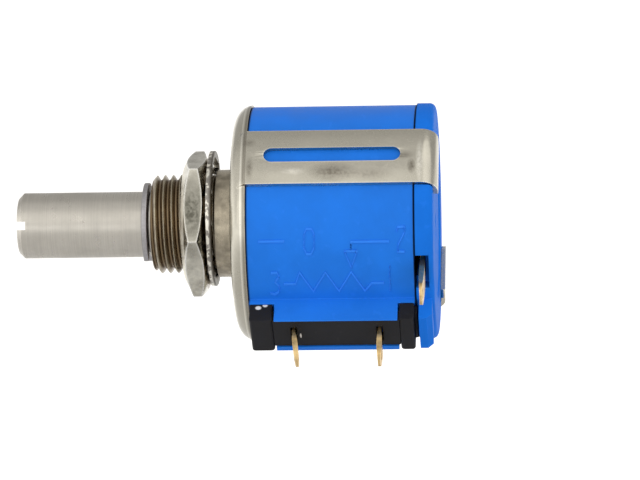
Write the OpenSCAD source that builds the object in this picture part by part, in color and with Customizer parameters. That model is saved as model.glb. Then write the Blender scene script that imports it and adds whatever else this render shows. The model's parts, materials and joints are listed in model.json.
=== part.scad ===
// Ten-turn wirewound precision potentiometer with a threaded panel bushing.
// All sizes are millimetres. The origin is the centre of the mounting face, on the shaft's axis.
// The shaft points along -X, the rear lid is at +X and +Z is up.
// An angle around the axis is measured from -Y towards +Z.

/* [Shaft] */
// Diameter of the shaft
shaft_d = 6.35; // [6:0.05:6.4]
// Mounting face to the tip of the shaft
shaft_reach = 21.27; // [14:0.01:40]
// Chamfer at the shaft's tip
tip_chamfer = 0.5; // [0.2:0.05:0.8]
// Width of the screwdriver slot
tip_slot_w = 0.8; // [0.5:0.05:1.5]
// Depth of the screwdriver slot
tip_slot_depth = 0.9; // [0.5:0.05:2]
// Diameter of the rear journal, which turns in the lid
journal_d = 3.2; // [2.4:0.1:4]
// Length of the rear journal
journal_len = 1.7; // [1:0.1:1.8]

/* [Retaining ring] */
// Outer diameter of the retaining ring
ring_d = 8.04; // [7.4:0.02:8.6]
// Thickness of the retaining ring
ring_t = 0.5; // [0.4:0.05:0.7]
// Gap between the ring and the end of the bushing
ring_gap = 0.4; // [0.1:0.05:1]
// Depth of the ring's groove in the shaft
ring_groove_depth = 0.35; // [0.2:0.05:0.6]
// Opening of the ring, in degrees
ring_opening = 55; // [30:5:90]

/* [Bushing] */
// Outer diameter of the bushing's thread
thread_d = 9.525; // [9:0.025:10]
// Mounting face to the end of the bushing
bushing_reach = 8.12; // [7:0.01:14]
// Chamfer at the end of the bushing
bushing_chamfer = 0.41; // [0.2:0.01:0.6]
// Diameter of the plain shoulder behind the thread
shoulder_d = 10.4; // [9.8:0.05:11]
// Length of the shoulder ahead of the mounting face
shoulder_len = 1.9; // [1:0.05:1.95]
// Diameter of the flange that the bracket clamps on the housing
flange_d = 15; // [13:0.1:17]
// Thickness of that flange
flange_t = 1; // [0.6:0.1:1.4]

/* [Panel nut and lock washer] */
// Width of the nut across its flats
nut_af = 12.7; // [12:0.1:14]
// Thickness of the nut
nut_t = 2.4; // [1.8:0.05:3]
// Mounting face to the nut's rear face
nut_back = 2.69; // [2.69:0.01:4]
// Angle of one corner of the nut
nut_corner = 46; // [0:1:60]
// Diameter where the nut's chamfers start
nut_face_d = 12.4; // [11.5:0.1:12.6]
// Outer diameter of the lock washer
washer_d = 13.1; // [12.5:0.05:14]
// Share of the washer's width, from the teeth's tips to its edge, that the plain rim takes
washer_rim = 0.61; // [0.4:0.01:0.8]
// Thickness of the washer
washer_t = 0.4; // [0.3:0.05:0.5]
// Diameter of the circle that the teeth reach in to
tooth_circle_d = 10.64; // [10.6:0.02:10.8]
// Number of inner teeth
tooth_count = 12; // [8:1:14]
// Width of one tooth
tooth_w = 1.4; // [1:0.1:1.6]
// Twist of each tooth out of the washer's plane, in degrees
tooth_twist = 8.5; // [4:0.5:9]
// Height that the washer sits above the shaft's axis
washer_lift = 0.49; // [0:0.01:0.5]

/* [Clamp bracket] */
// Outer diameter of the bracket's round plate
plate_d = 22.8; // [22:0.05:24]
// Thickness of the sheet
sheet_t = 0.4; // [0.3:0.05:0.5]
// Outer radius where the plate turns into its skirt
plate_round = 1.8; // [1:0.1:2.2]
// Mounting face to the rear edge of the skirt
skirt_depth = 1.6; // [1.3:0.05:2.6]
// Slope of the straps' roots, where they leave the plate's round edge, in degrees
root_slope = 38; // [36:1:42]
// Width of each strap
strap_w = 6.05; // [5:0.05:8]
// Angle of the strap that faces the viewer
strap_angle = 33.4; // [25:0.1:45]
// Width of the window in each strap
window_w = 1.55; // [1:0.05:2.5]
// Mounting face to the front end of the window
window_front = 3.3; // [2.8:0.05:6]
// Rear end of the window to the housing's rear edge
window_rear = 1.24; // [1:0.05:5]
// Outer radius of the bend over the lid
bend_round = 1.6; // [1:0.05:1.8]
// Length of the tab on the lid's rear face
tab_len = 3.05; // [2.2:0.05:4]
// Corner cut at the free end of each tab
tab_corner = 0.6; // [0.2:0.05:1.2]

/* [Housing] */
// Outer diameter of the housing
body_d = 22.4; // [22:0.05:24]
// Mounting face to the rear edge of the housing
body_len = 17.5; // [17.5:0.05:24]
// Thickness of the round wall
body_wall = 1.4; // [1.2:0.05:1.6]
// Thickness of the front wall
front_wall = 1.6; // [1.6:0.05:2.4]

/* [Rear lid] */
// Outer diameter of the lid
lid_d = 22.72; // [22.4:0.02:24]
// Thickness of the lid at its rim
lid_t = 1.75; // [1.6:0.05:2.5]
// Gap of the seam between the housing and the lid
lid_seam = 0.05; // [0.02:0.01:0.2]
// Radius of the lid's rear edge
lid_round = 0.6; // [0.3:0.05:0.8]
// Length of the spigot that enters the housing
spigot_len = 0.95; // [0.5:0.05:1.2]
// Wall of that spigot
spigot_wall = 0.85; // [0.6:0.05:1.2]
// Depth of the channel for the middle terminal in the lid's front face
channel_depth = 0.95; // [0.8:0.05:1.2]
// Chamfer on the rear edge of the lid's piece of the boss
lid_boss_chamfer = 0.5; // [0.2:0.05:0.8]
// Lid's front and rear faces to the ends of that piece
lid_boss_inset = 0.25; // [0.2:0.05:0.5]
// Distance that it stays below the boss's face
lid_boss_sink = 0.15; // [0.05:0.01:0.3]
// Diameter of the boss that holds the rear journal
bearing_boss_d = 6.4; // [5.6:0.1:7]
// Width of the rim's notch for the middle terminal
notch_w = 3.38; // [2.8:0.02:4]
// Depth of that notch from the lid's front edge
notch_depth = 1.3; // [1.1:0.05:1.4]

/* [Terminal boss and strip] */
// Angle of the terminal boss
boss_angle = -52.8; // [-60:0.1:-45]
// Width of the boss
boss_w = 4.84; // [4:0.02:6]
// Shaft axis to the face of the boss
boss_face = 13.5; // [13:0.05:15]
// Mounting face to the front end of the boss block
boss_front = 4.1; // [3.5:0.05:6]
// Mounting face to the rear end of the boss block
boss_rear = 15.8; // [12:0.05:16]
// Shaft axis to the low shelf under the strip's legs
shelf_face = 11.5; // [11.4:0.05:12]
// Mounting face to the front end of the strip
strip_front = 1.75; // [1.7:0.05:3]
// Mounting face to the rear end of the strip's rear leg
strip_rear = 17.35; // [15:0.05:17.4]
// Depth of the strip's bar in the boss
bar_t = 1.1; // [0.8:0.05:1.4]
// Distance that the bar lies below the boss's face
bar_sink = 0.12; // [0.05:0.01:0.3]
// Lip of the boss beside the bar
boss_lip = 0.62; // [0.4:0.02:0.9]
// Lip of the boss on the bar's other side
flank_lip = 0.2; // [0.15:0.01:0.4]
// Height of the strip's foot over the shelf, above the bar's underside
foot_rise = 0.3; // [0.2:0.05:0.5]
// Thickness of the strip's foot in front of the lid
foot_t = 0.3; // [0.2:0.05:0.4]

/* [Terminals] */
// Thickness of the terminals
terminal_t = 0.5; // [0.3:0.05:0.6]
// Width of the terminals
terminal_w = 2.2; // [1.8:0.05:2.4]
// Thickness of a terminal where it leaves the plastic
terminal_neck_t = 0.28; // [0.2:0.02:0.3]
// Thickness of the terminals at their tips
terminal_tip_t = 0.2; // [0.1:0.02:0.3]
// Length over which a terminal grows from its neck to its full thickness
terminal_taper = 1.1; // [0.6:0.1:1.4]
// Diameter of the wire hole
terminal_hole_d = 1.1; // [0.8:0.05:1.3]
// Shaft axis to the tip of a terminal
terminal_reach = 16.9; // [16:0.05:19]
// Mounting face to the first terminal
terminal_1_x = 5.9; // [5:0.05:8]
// Mounting face to the third terminal
terminal_3_x = 14.05; // [11:0.05:14.4]
// Lean of the first terminal, which was bent in handling, in degrees
terminal_1_lean = 7; // [0:0.5:10]
// Angle of the middle terminal
terminal_2_angle = -25.2; // [-30:0.1:-20]
// Shaft axis to the inner end of the middle terminal
terminal_2_root = 5.2; // [4.8:0.1:7]

/* [Resistance element] */
// Number of turns
turns = 10; // [3:1:10]
// Pitch of the turns
pitch = 1.2; // [1.1:0.01:1.22]
// Diameter of the wound element
element_d = 0.66; // [0.5:0.01:0.7]
// Mounting face to the middle of the element
element_mid = 9.43; // [9.4:0.01:10]
// Room in the boss over the tap wires
tap_room = 0.6; // [0.4:0.05:0.8]
// Gap between the element and the terminals' inner ends, which the tap wires bridge
tap_gap = 0.15; // [0.1:0.01:0.2]
// Diameter of the tap wires
lead_d = 0.3; // [0.2:0.02:0.4]

/* [Rotor and wiper] */
// Outer diameter of the rotor
rotor_d = 12.4; // [11:0.1:13]
// Rotor's rear face to the housing's rear edge
rotor_inset = 1.1; // [1:0.05:1.2]
// Width of the rotor's guide slot
guide_w = 3; // [2.4:0.1:3.6]
// Wall under the guide slot
guide_floor = 0.7; // [0.5:0.05:1]
// Thickness of the collector bar
collector_t = 0.4; // [0.3:0.05:0.5]
// Width of the collector bar
collector_w = 1.6; // [1:0.1:2]
// Outer diameter of the collector ring
collector_ring_d = 11.2; // [10:0.1:12]
// Thickness of the collector ring
collector_ring_t = 0.3; // [0.2:0.05:0.4]
// Length of the wiper carriage along the shaft
carriage_len = 1.5; // [1.4:0.02:1.5]
// Contact's reach to the carriage's head, under the element
contact_lift = 0.75; // [0.6:0.05:0.9]
// Overhang of the carriage's head on each side of the guide slot
head_overhang = 0.4; // [0.2:0.05:0.8]
// Width of each prong of the carriage
prong_w = 1.2; // [0.8:0.1:1.6]
// Length of the contact button that rides on the element
contact_len = 0.6; // [0.4:0.05:1]
// Length of the pickup's leaf
pickup_len = 1.2; // [0.8:0.1:1.4]
// Diameter of the pickup's pin
pickup_pin_d = 0.8; // [0.5:0.05:1]
// Length of the ring brush's foot on the middle terminal
brush_foot = 2; // [1:0.1:3]
// Distance from the middle terminal's inner end to that foot
brush_offset = 0.4; // [0.2:0.05:1]
// Length of the brush's pad on the collector ring
brush_pad = 0.3; // [0.2:0.05:0.6]
// Thickness of the leaf springs
leaf_t = 0.12; // [0.08:0.01:0.16]
// Thickness of the thrust washer
thrust_t = 0.35; // [0.2:0.05:0.5]

/* [Clearances] */
// Running clearance of a turning shaft, on the radius
running = 0.04; // [0.02:0.01:0.08]
// Clearance between fixed pieces that nest
seat = 0.05; // [0.02:0.01:0.08]
// Clearance along the shaft between turning pieces
end_play = 0.05; // [0.03:0.01:0.1]
// Gap between the boss block and the strip's legs
leg_gap = 0.17; // [0.1:0.01:0.25]
// Clearance between the carriage's prongs and the element
prong_gap = 0.12; // [0.1:0.01:0.13]

/* [Hidden] */
$fn = 96;
cut = 1; // how far a cutter runs past what it cuts

shaft_r = shaft_d / 2;
bore_r = shaft_r + running;
thread_r = thread_d / 2;
shoulder_r = shoulder_d / 2;
flange_r = flange_d / 2;
plate_r = plate_d / 2;
skirt_in_r = plate_r - sheet_t;
body_r = body_d / 2;
cavity_r = body_r - body_wall;
lid_r = lid_d / 2;

front_inner_x = sheet_t + front_wall;
ring_rear_x = -bushing_reach - ring_gap;
ring_front_x = ring_rear_x - ring_t;
groove_r = shaft_r - ring_groove_depth;

strap_in_r = body_r + seat;
strap_out_r = strap_in_r + sheet_t;
lid_x = body_len + lid_seam;
lid_rear_x = lid_x + lid_t;
tab_x = lid_rear_x + seat;
bend_x = tab_x + sheet_t - bend_round;
bend_r = strap_out_r - bend_round;
window_len = body_len - window_rear - window_front;

element_r = element_d / 2;
helix_r = cavity_r - element_r - running;
helix_steps = 24;
wire_sides = 8;
overrun = 0.03; // share of a turn that the element runs on past each end of the travel

rotor_r = rotor_d / 2;
rotor_front = front_inner_x + thrust_t + 2 * end_play;
rotor_rear = body_len - rotor_inset;
hub_r = shaft_r + seat + guide_floor;
guide_floor_r = hub_r;
bar_top_r = guide_floor_r + collector_t;
journal_r = journal_d / 2;
journal_x = rotor_rear + collector_ring_t;
boss_clear = 4 * end_play;

boss_half = boss_w / 2;
bar_face = boss_face - bar_sink;
bar_floor = bar_face - bar_t;
pocket_r = helix_r + element_r + lead_d + tap_room;
element_end = turns / 2 * pitch;
lead_r = helix_r + element_r + lead_d / 2 + tap_gap;
terminal_half = terminal_w / 2;
terminal_root = helix_r + element_r + tap_gap;
hole_reach = terminal_reach - terminal_half;
channel_floor = lid_x + channel_depth;

contact_r = helix_r - element_r - running;
head_r = contact_r - contact_lift;
prong_in = element_r + prong_gap;

// Turns a shape drawn along +Z so that it runs along +X.
module along_x() rotate([0, 90, 0]) children();

// Turns a shape so that its +Z points outwards at an angle around the axis. Its X stays the axis.
module toward(angle) rotate([90 - angle, 0, 0]) children();

// A ring around the axis from x0 to x1.
module ring(x0, x1, outer_r, inner_r) translate([x0, 0, 0]) along_x() difference() {
    cylinder(h = x1 - x0, r = outer_r);
    translate([0, 0, -cut]) cylinder(h = x1 - x0 + 2 * cut, r = inner_r);
}

// A disc around the axis from x0 to x1.
module disc(x0, x1, r) translate([x0, 0, 0]) along_x() cylinder(h = x1 - x0, r = r);

// A block between x0 and x1 along the axis, across the middle by its width, and from r0 out to r1.
module block(x0, x1, y0, y1, r0, r1) translate([x0, y0, r0]) cube([x1 - x0, y1 - y0, r1 - r0]);

// Half outline of a disc of depth along the axis, with a round front edge.
module round_front_outline(r, depth, round_r) difference() {
    square([r, depth]);
    difference() {
        translate([r - round_r, -cut]) square(round_r + cut);
        translate([r - round_r, round_r]) circle(round_r);
    }
}

// The same half outline with a round rear edge.
module round_rear_outline(r, depth, round_r) translate([0, depth]) mirror([0, 1])
    round_front_outline(r, depth, round_r);

module shaft() color([0.72, 0.71, 0.69]) difference() {
    along_x() rotate_extrude() polygon([
        [0, -shaft_reach],
        [shaft_r - tip_chamfer, -shaft_reach],
        [shaft_r, -shaft_reach + tip_chamfer],
        [shaft_r, ring_front_x - seat],
        [groove_r, ring_front_x - seat],
        [groove_r, ring_rear_x + seat],
        [shaft_r, ring_rear_x + seat],
        [shaft_r, journal_x],
        [journal_r, journal_x],
        [journal_r, journal_x + journal_len],
        [0, journal_x + journal_len]
    ]);
    translate([-shaft_reach - cut, -shaft_d, -tip_slot_w / 2])
        cube([tip_slot_depth + cut, 2 * shaft_d, tip_slot_w]);
}

module retaining_ring() color([0.45, 0.44, 0.42]) difference() {
    ring(ring_front_x, ring_rear_x, ring_d / 2, groove_r + running);
    toward(180) translate([ring_front_x - cut, 0, 0]) rotate([90, 0, 90])
        linear_extrude(ring_t + 2 * cut) polygon([
            [0, 0],
            [-ring_d * sin(ring_opening / 2), ring_d * cos(ring_opening / 2)],
            [ring_d * sin(ring_opening / 2), ring_d * cos(ring_opening / 2)]
        ]);
}

module bushing() color([0.6, 0.56, 0.48]) along_x() rotate_extrude() polygon([
    [bore_r, -bushing_reach],
    [thread_r - bushing_chamfer, -bushing_reach],
    [thread_r, -bushing_reach + bushing_chamfer],
    [thread_r, -shoulder_len],
    [shoulder_r, -shoulder_len],
    [shoulder_r, sheet_t],
    [flange_r, sheet_t],
    [flange_r, sheet_t + flange_t],
    [shoulder_r, sheet_t + flange_t],
    [shoulder_r, front_inner_x],
    [bore_r, front_inner_x]
]);

module hex_nut() color([0.55, 0.54, 0.52]) {
    corner_r = nut_af / 2 / cos(30);
    face_r = nut_face_d / 2;
    drop = (corner_r - face_r) * tan(30);
    translate([-nut_back - nut_t, 0, 0]) difference() {
        intersection() {
            toward(nut_corner) rotate([90, 0, 90]) rotate(90)
                linear_extrude(nut_t) circle(corner_r, $fn = 6);
            along_x() rotate_extrude() polygon([
                [0, 0],
                [face_r, 0],
                [corner_r, drop],
                [corner_r + cut, drop],
                [corner_r + cut, nut_t - drop],
                [corner_r, nut_t - drop],
                [face_r, nut_t],
                [0, nut_t]
            ]);
        }
        disc(-cut, nut_t + cut, thread_r + seat);
    }
}

module lock_washer() color([0.6, 0.59, 0.56]) {
    rim_r = washer_d / 2;
    tooth_in_r = tooth_circle_d / 2;
    rim_w = washer_rim * (rim_r - tooth_in_r);
    rim_in_r = rim_r - rim_w;
    half_span = (washer_t * cos(tooth_twist) + tooth_w * sin(tooth_twist)) / 2;
    teeth_h = 4 * half_span;
    mid_x = -nut_back + end_play + half_span;
    translate([mid_x, 0, washer_lift]) {
        ring(-washer_t / 2, washer_t / 2, rim_r, rim_in_r);
        along_x() intersection() {
            for (i = [0:tooth_count - 1])
                rotate(i * 360 / tooth_count) translate([(tooth_in_r + rim_in_r) / 2, 0, 0])
                    rotate([tooth_twist, 0, 0])
                        cube([rim_in_r - tooth_in_r + rim_w, tooth_w, washer_t], center = true);
            difference() {
                cylinder(h = teeth_h, r = rim_in_r + rim_w / 2, center = true);
                cylinder(h = teeth_h + cut, r = tooth_in_r, center = true);
            }
        }
    }
}

// Half outline of the sheet from the skirt, over the housing and round the lid's rear edge.
module strap_outline() {
    root_r = plate_r - plate_round * (1 - cos(root_slope));
    root_x = plate_round * (1 - sin(root_slope));
    root_in_r = root_r - sheet_t * cos(root_slope);
    root_in_x = root_x + sheet_t * sin(root_slope);
    flat_x = root_x + (strap_out_r - root_r) / tan(root_slope);
    flat_in_x = root_in_x + (strap_in_r - root_in_r) / tan(root_slope);
    polygon([
        [root_in_r, root_in_x],
        [root_r, root_x],
        [strap_out_r, flat_x],
        [strap_out_r, flat_in_x + sheet_t],
        [strap_in_r, flat_in_x + sheet_t],
        [strap_in_r, flat_in_x]
    ]);
    translate([strap_in_r, flat_in_x]) square([sheet_t, bend_x - flat_in_x]);
    translate([bend_r, bend_x]) intersection() {
        difference() {
            circle(bend_round);
            circle(bend_round - sheet_t);
        }
        square(bend_round);
    }
    translate([bend_r - tab_len, tab_x]) square([tab_len, sheet_t]);
}

module clamp_bracket() color([0.66, 0.64, 0.58]) {
    difference() {
        along_x() rotate_extrude() difference() {
            round_front_outline(plate_r, skirt_depth, plate_round);
            translate([0, sheet_t])
                round_front_outline(skirt_in_r, skirt_depth, plate_round - sheet_t);
        }
        disc(-cut, cut, shoulder_r + seat);
    }
    difference() {
        intersection() {
            along_x() rotate_extrude() strap_outline();
            toward(strap_angle) rotate([90, 0, 90]) linear_extrude(lid_rear_x + cut)
                square([strap_w, 2 * strap_out_r + cut], center = true);
        }
        toward(strap_angle) strap_window();
        for (side = [0, 180])
            toward(strap_angle + side) tab_trim();
    }
}

// Long hole with round ends, through both straps.
module strap_window() {
    span = 2 * strap_out_r + cut;
    end_r = window_w / 2;
    translate([window_front + end_r, -end_r, -span / 2]) cube([window_len - window_w, window_w, span]);
    for (x = [window_front + end_r, window_front + window_len - end_r])
        translate([x, 0, 0]) cylinder(h = span, r = end_r, center = true);
}

// What is cut from one tab: its straight end and two corners.
module tab_trim() {
    end = strap_out_r - tab_len;
    block(lid_rear_x, lid_rear_x + cut, -strap_w, strap_w, 0, end);
    for (side = [-1, 1])
        translate([lid_rear_x - cut, side * strap_w / 2, end]) rotate([45, 0, 0])
            translate([0, -tab_corner / sqrt(2), -tab_corner / sqrt(2)])
                cube([cut + lid_t, tab_corner * sqrt(2), tab_corner * sqrt(2)]);
}

// The space of the housing under the strip: the bar's seat and the shelves of the legs.
module strip_space() {
    side = boss_half + cut;
    top = boss_face + cut;
    block(strip_front - 2 * cut, boss_front, -side, side, shelf_face, top);
    block(boss_rear, body_len + cut, -side, side, shelf_face, top);
    block(strip_front, body_len, boss_lip - boss_half - seat, boss_half - flank_lip + seat,
          bar_floor - seat, top);
}

module housing() color([0.16, 0.46, 0.9]) difference() {
    union() {
        along_x() rotate_extrude() {
            translate([0, sheet_t])
                round_front_outline(skirt_in_r - seat, body_len - sheet_t, plate_round - sheet_t);
            translate([0, skirt_depth + seat]) square([body_r, body_len - skirt_depth - seat]);
        }
        toward(boss_angle) block(skirt_depth + seat, body_len, -boss_half, boss_half, 0, boss_face);
    }
    disc(front_inner_x, body_len + cut, cavity_r);
    disc(0, sheet_t + flange_t, flange_r + seat);
    disc(0, front_inner_x + cut, shoulder_r + seat);
    toward(boss_angle) {
        strip_space();
        block(element_mid - element_end - element_d, element_mid + element_end + element_d,
              -terminal_half - seat, terminal_half + seat, cavity_r - cut, pocket_r);
        for (x = [terminal_1_x, terminal_3_x])
            block(x - terminal_t / 2 - seat, x + terminal_t / 2 + seat,
                  -terminal_half - seat, terminal_half + seat, cavity_r, boss_face);
    }
}

module rear_lid() color([0.14, 0.4, 0.82]) difference() {
    union() {
        translate([lid_x, 0, 0]) along_x() rotate_extrude() round_rear_outline(lid_r, lid_t, lid_round);
        ring(lid_x - spigot_len, lid_x + cut / 2, cavity_r - seat, cavity_r - seat - spigot_wall);
        disc(journal_x + boss_clear, lid_x + cut / 2, bearing_boss_d / 2);
        toward(boss_angle) lid_boss();
    }
    disc(journal_x, journal_x + journal_len + boss_clear, journal_r + running);
    toward(terminal_2_angle) {
        block(lid_x - cut, channel_floor, -terminal_half - seat, terminal_half + seat,
              terminal_2_root - seat, lid_r + cut);
        block(lid_x - cut / 2, lid_x + notch_depth, -notch_w / 2, notch_w / 2, cavity_r, lid_r + cut);
    }
    lid_strap_seats();
}

// The lid's own piece of the terminal boss, with a chamfered rear edge.
module lid_boss() {
    front = lid_x + lid_boss_inset;
    rear = lid_rear_x - lid_boss_inset;
    face = boss_face - lid_boss_sink;
    rotate([90, 0, 0]) translate([0, 0, -boss_half]) linear_extrude(boss_w) polygon([
        [front, 0],
        [front, face],
        [rear - lid_boss_chamfer, face],
        [rear, face - lid_boss_chamfer],
        [rear, 0]
    ]);
}

// Recesses in the lid's rim, where the straps pass over it.
module lid_strap_seats() difference() {
    toward(strap_angle) rotate([90, 0, 90]) translate([0, 0, lid_x - cut]) linear_extrude(lid_t + 2 * cut)
        square([strap_w + 4 * seat, 2 * lid_r + cut], center = true);
    translate([lid_x - 2 * cut, 0, 0]) along_x() rotate_extrude()
        round_rear_outline(strap_in_r - seat, lid_t + 2 * cut, bend_round - sheet_t);
}

module terminal_strip() color([0.16, 0.16, 0.17]) toward(boss_angle) difference() {
    union() {
        block(strip_front, strip_rear, -boss_half + boss_lip, boss_half - flank_lip, bar_floor, bar_face);
        block(strip_front, boss_front - leg_gap, -boss_half, boss_half, shelf_face + seat, boss_face);
        block(boss_rear + leg_gap, strip_rear, -boss_half, boss_half, shelf_face + seat, boss_face);
        block(strip_rear - cut / 4, strip_rear + foot_t, -boss_half + boss_lip, boss_half - 2 * flank_lip,
              shelf_face + seat, bar_floor + foot_rise);
    }
    for (x = [terminal_1_x, terminal_3_x])
        block(x - terminal_t / 2 - running, x + terminal_t / 2 + running,
              -terminal_half - running, terminal_half + running, shelf_face, boss_face + cut);
}

// Flat outline of a terminal lug from its root to its round tip, with the wire hole.
module lug_outline(root) difference() {
    union() {
        translate([-terminal_half, root]) square([terminal_w, hole_reach - root]);
        translate([0, hole_reach]) circle(terminal_half);
    }
    translate([0, hole_reach]) circle(terminal_hole_d / 2);
}

// A lug whose sheet lies across the axis, centred on x. It is thinner at its neck and at its tip.
module lug(x, root, neck_r) intersection() {
    translate([x - terminal_t / 2, 0, 0]) rotate([90, 0, 90]) linear_extrude(terminal_t) lug_outline(root);
    full = terminal_t / 2;
    under_neck = neck_r - terminal_t;
    above_hole = hole_reach + terminal_hole_d / 2 + seat;
    half = [
        [full, min(root, under_neck) - cut],
        [full, under_neck],
        [terminal_neck_t / 2, neck_r],
        [full, neck_r + terminal_taper],
        [full, above_hole],
        [terminal_tip_t / 2, terminal_reach + seat]
    ];
    translate([x, terminal_w, 0]) rotate([90, 0, 0]) linear_extrude(2 * terminal_w)
        polygon(concat(half, [for (i = [len(half) - 1:-1:0]) [-half[i].x, half[i].y]]));
}

module terminal_1() color([0.8, 0.66, 0.36]) toward(boss_angle) {
    bend_height = boss_face + terminal_t * tan(terminal_1_lean);
    block(terminal_1_x - terminal_t / 2, terminal_1_x + terminal_t / 2,
          -terminal_half, terminal_half, terminal_root, bend_height);
    translate([terminal_1_x, 0, bend_height]) rotate([0, terminal_1_lean, 0])
        translate([-terminal_1_x, 0, -bend_height]) lug(terminal_1_x, bend_height - seat, bend_height);
}

module terminal_3() color([0.8, 0.66, 0.36]) toward(boss_angle)
    lug(terminal_3_x, terminal_root, bar_face);

module terminal_2() color([0.8, 0.66, 0.36]) toward(terminal_2_angle)
    lug(channel_floor - terminal_t / 2, terminal_2_root, lid_r + terminal_taper);

// One point of the element's centre line, as seen from the boss. A turn is 360 degrees.
function helix_point(a) = [element_mid + pitch * a / 360, -helix_r * sin(a), helix_r * cos(a)];

// One corner of the wire's section at that point.
function wire_corner(a, b) =
    let (
        along = [pitch / (2 * PI), -helix_r * cos(a), -helix_r * sin(a)],
        out = [0, -sin(a), cos(a)],
        side = cross(along, out) / norm(along)
    )
    helix_point(a) + element_r * (cos(b) * out + sin(b) * side);

module resistance_element() color([0.62, 0.5, 0.36]) toward(boss_angle) {
    half_turn = 360 * (turns / 2 + overrun);
    steps = turns * helix_steps;
    points = [
        for (i = [0:steps], j = [0:wire_sides - 1])
            wire_corner(-half_turn + 2 * half_turn * i / steps, 360 * j / wire_sides)
    ];
    walls = [
        for (i = [0:steps - 1], j = [0:wire_sides - 1])
            let (next = (j + 1) % wire_sides, a = i * wire_sides, b = a + wire_sides)
            [a + j, a + next, b + next, b + j]
    ];
    front_cap = [for (j = [wire_sides - 1:-1:0]) j];
    rear_cap = [for (j = [0:wire_sides - 1]) steps * wire_sides + j];
    polyhedron(points, concat(walls, [front_cap, rear_cap]));
}

// A tap wire from one end of the element to the side of its terminal.
module lead(end_x, terminal_x) toward(boss_angle) {
    side = sign(terminal_x - end_x);
    reach = abs(terminal_x - end_x) - terminal_t / 2;
    root_r = helix_r + element_r;
    translate([end_x, 0, lead_r]) rotate([0, side * 90, 0]) cylinder(h = reach, d = lead_d, $fn = 24);
    translate([end_x, 0, root_r]) cylinder(h = lead_r - root_r, d = lead_d, $fn = 24);
    translate([end_x, 0, lead_r]) sphere(d = lead_d, $fn = 24);
}

module start_lead() color([0.75, 0.5, 0.3]) lead(element_mid - element_end, terminal_1_x);

module end_lead() color([0.75, 0.5, 0.3]) lead(element_mid + element_end, terminal_3_x);

module rotor_drum() color([0.85, 0.83, 0.76]) difference() {
    union() {
        disc(rotor_front, rotor_rear, rotor_r);
        disc(rotor_front, rotor_rear + collector_ring_t, hub_r - guide_floor / 2);
    }
    disc(rotor_front - cut, rotor_rear + cut, shaft_r + seat / 2);
    toward(boss_angle)
        block(rotor_front - cut, rotor_rear + cut, -guide_w / 2, guide_w / 2, guide_floor_r, rotor_r + cut);
}

module collector_bar() color([0.8, 0.66, 0.36]) toward(boss_angle)
    block(rotor_front, rotor_rear, -collector_w / 2, collector_w / 2, guide_floor_r, bar_top_r);

module collector_ring() color([0.8, 0.66, 0.36])
    ring(rotor_rear, rotor_rear + collector_ring_t, collector_ring_d / 2, hub_r - guide_floor / 2 + seat);

module thrust_washer() color([0.9, 0.9, 0.86]) translate([front_inner_x + end_play, 0, 0])
    ring(0, thrust_t, shoulder_r - seat, shaft_r + running);

module wiper_carriage() color([0.88, 0.86, 0.8]) toward(boss_angle) {
    half_len = carriage_len / 2;
    slide_half = guide_w / 2 - 2 * running;
    head_half = slide_half + head_overhang;
    prong_half = prong_w / 2;
    front = element_mid - half_len;
    rear = element_mid + half_len;
    shoulder = rotor_r + 2 * running;
    block(front, rear, -slide_half, slide_half, bar_top_r + 3 * leaf_t, shoulder);
    block(front, rear, -head_half, head_half, shoulder, head_r);
    block(front, element_mid - prong_in, -prong_half, prong_half, head_r, helix_r);
    block(element_mid + prong_in, rear, -prong_half, prong_half, head_r, helix_r);
}

module wiper_contact() color([0.82, 0.7, 0.42]) toward(boss_angle) {
    half = prong_in - running;
    block(element_mid - half, element_mid + half, -guide_w / 2, guide_w / 2, head_r, head_r + leaf_t);
    button_r = (contact_r - head_r) / 2;
    translate([element_mid, 0, head_r + button_r]) rotate([90, 0, 0])
        cylinder(h = contact_len, r = button_r, center = true, $fn = 32);
}

module pickup_contact() color([0.82, 0.7, 0.42]) toward(boss_angle) {
    top = bar_top_r + 3 * leaf_t;
    front = element_mid - pickup_len / 2;
    block(front, front + pickup_len, -collector_w / 2, collector_w / 2, top - leaf_t, top);
    translate([element_mid, 0, bar_top_r + running])
        cylinder(h = 2 * leaf_t - running, d = pickup_pin_d, $fn = 32);
}

// The leaf spring runs from the middle terminal's root to the face of the collector ring.
module ring_brush() color([0.82, 0.7, 0.42]) toward(terminal_2_angle) {
    root_x = channel_floor - terminal_t;
    tip_x = rotor_rear + collector_ring_t + running;
    tip_r = (hub_r + collector_ring_d / 2) / 2;
    foot_r = terminal_2_root + brush_offset;
    rotate([90, 0, 0]) translate([0, 0, -collector_w / 2]) linear_extrude(collector_w) polygon([
        [root_x, foot_r + brush_foot],
        [root_x, foot_r],
        [tip_x + leaf_t, tip_r - brush_pad],
        [tip_x, tip_r - brush_pad],
        [tip_x, tip_r],
        [root_x - leaf_t, foot_r + leaf_t],
        [root_x - leaf_t, foot_r + brush_foot]
    ]);
}

shaft();
retaining_ring();
bushing();
hex_nut();
lock_washer();
clamp_bracket();
housing();
rear_lid();
terminal_strip();
terminal_1();
terminal_2();
terminal_3();
resistance_element();
start_lead();
end_lead();
rotor_drum();
collector_bar();
collector_ring();
thrust_washer();
wiper_carriage();
wiper_contact();
pickup_contact();
ring_brush();
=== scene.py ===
import json
import math

import bpy
from bpy.props import FloatProperty, FloatVectorProperty, IntProperty, PointerProperty
from mathutils import Matrix, Vector

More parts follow.
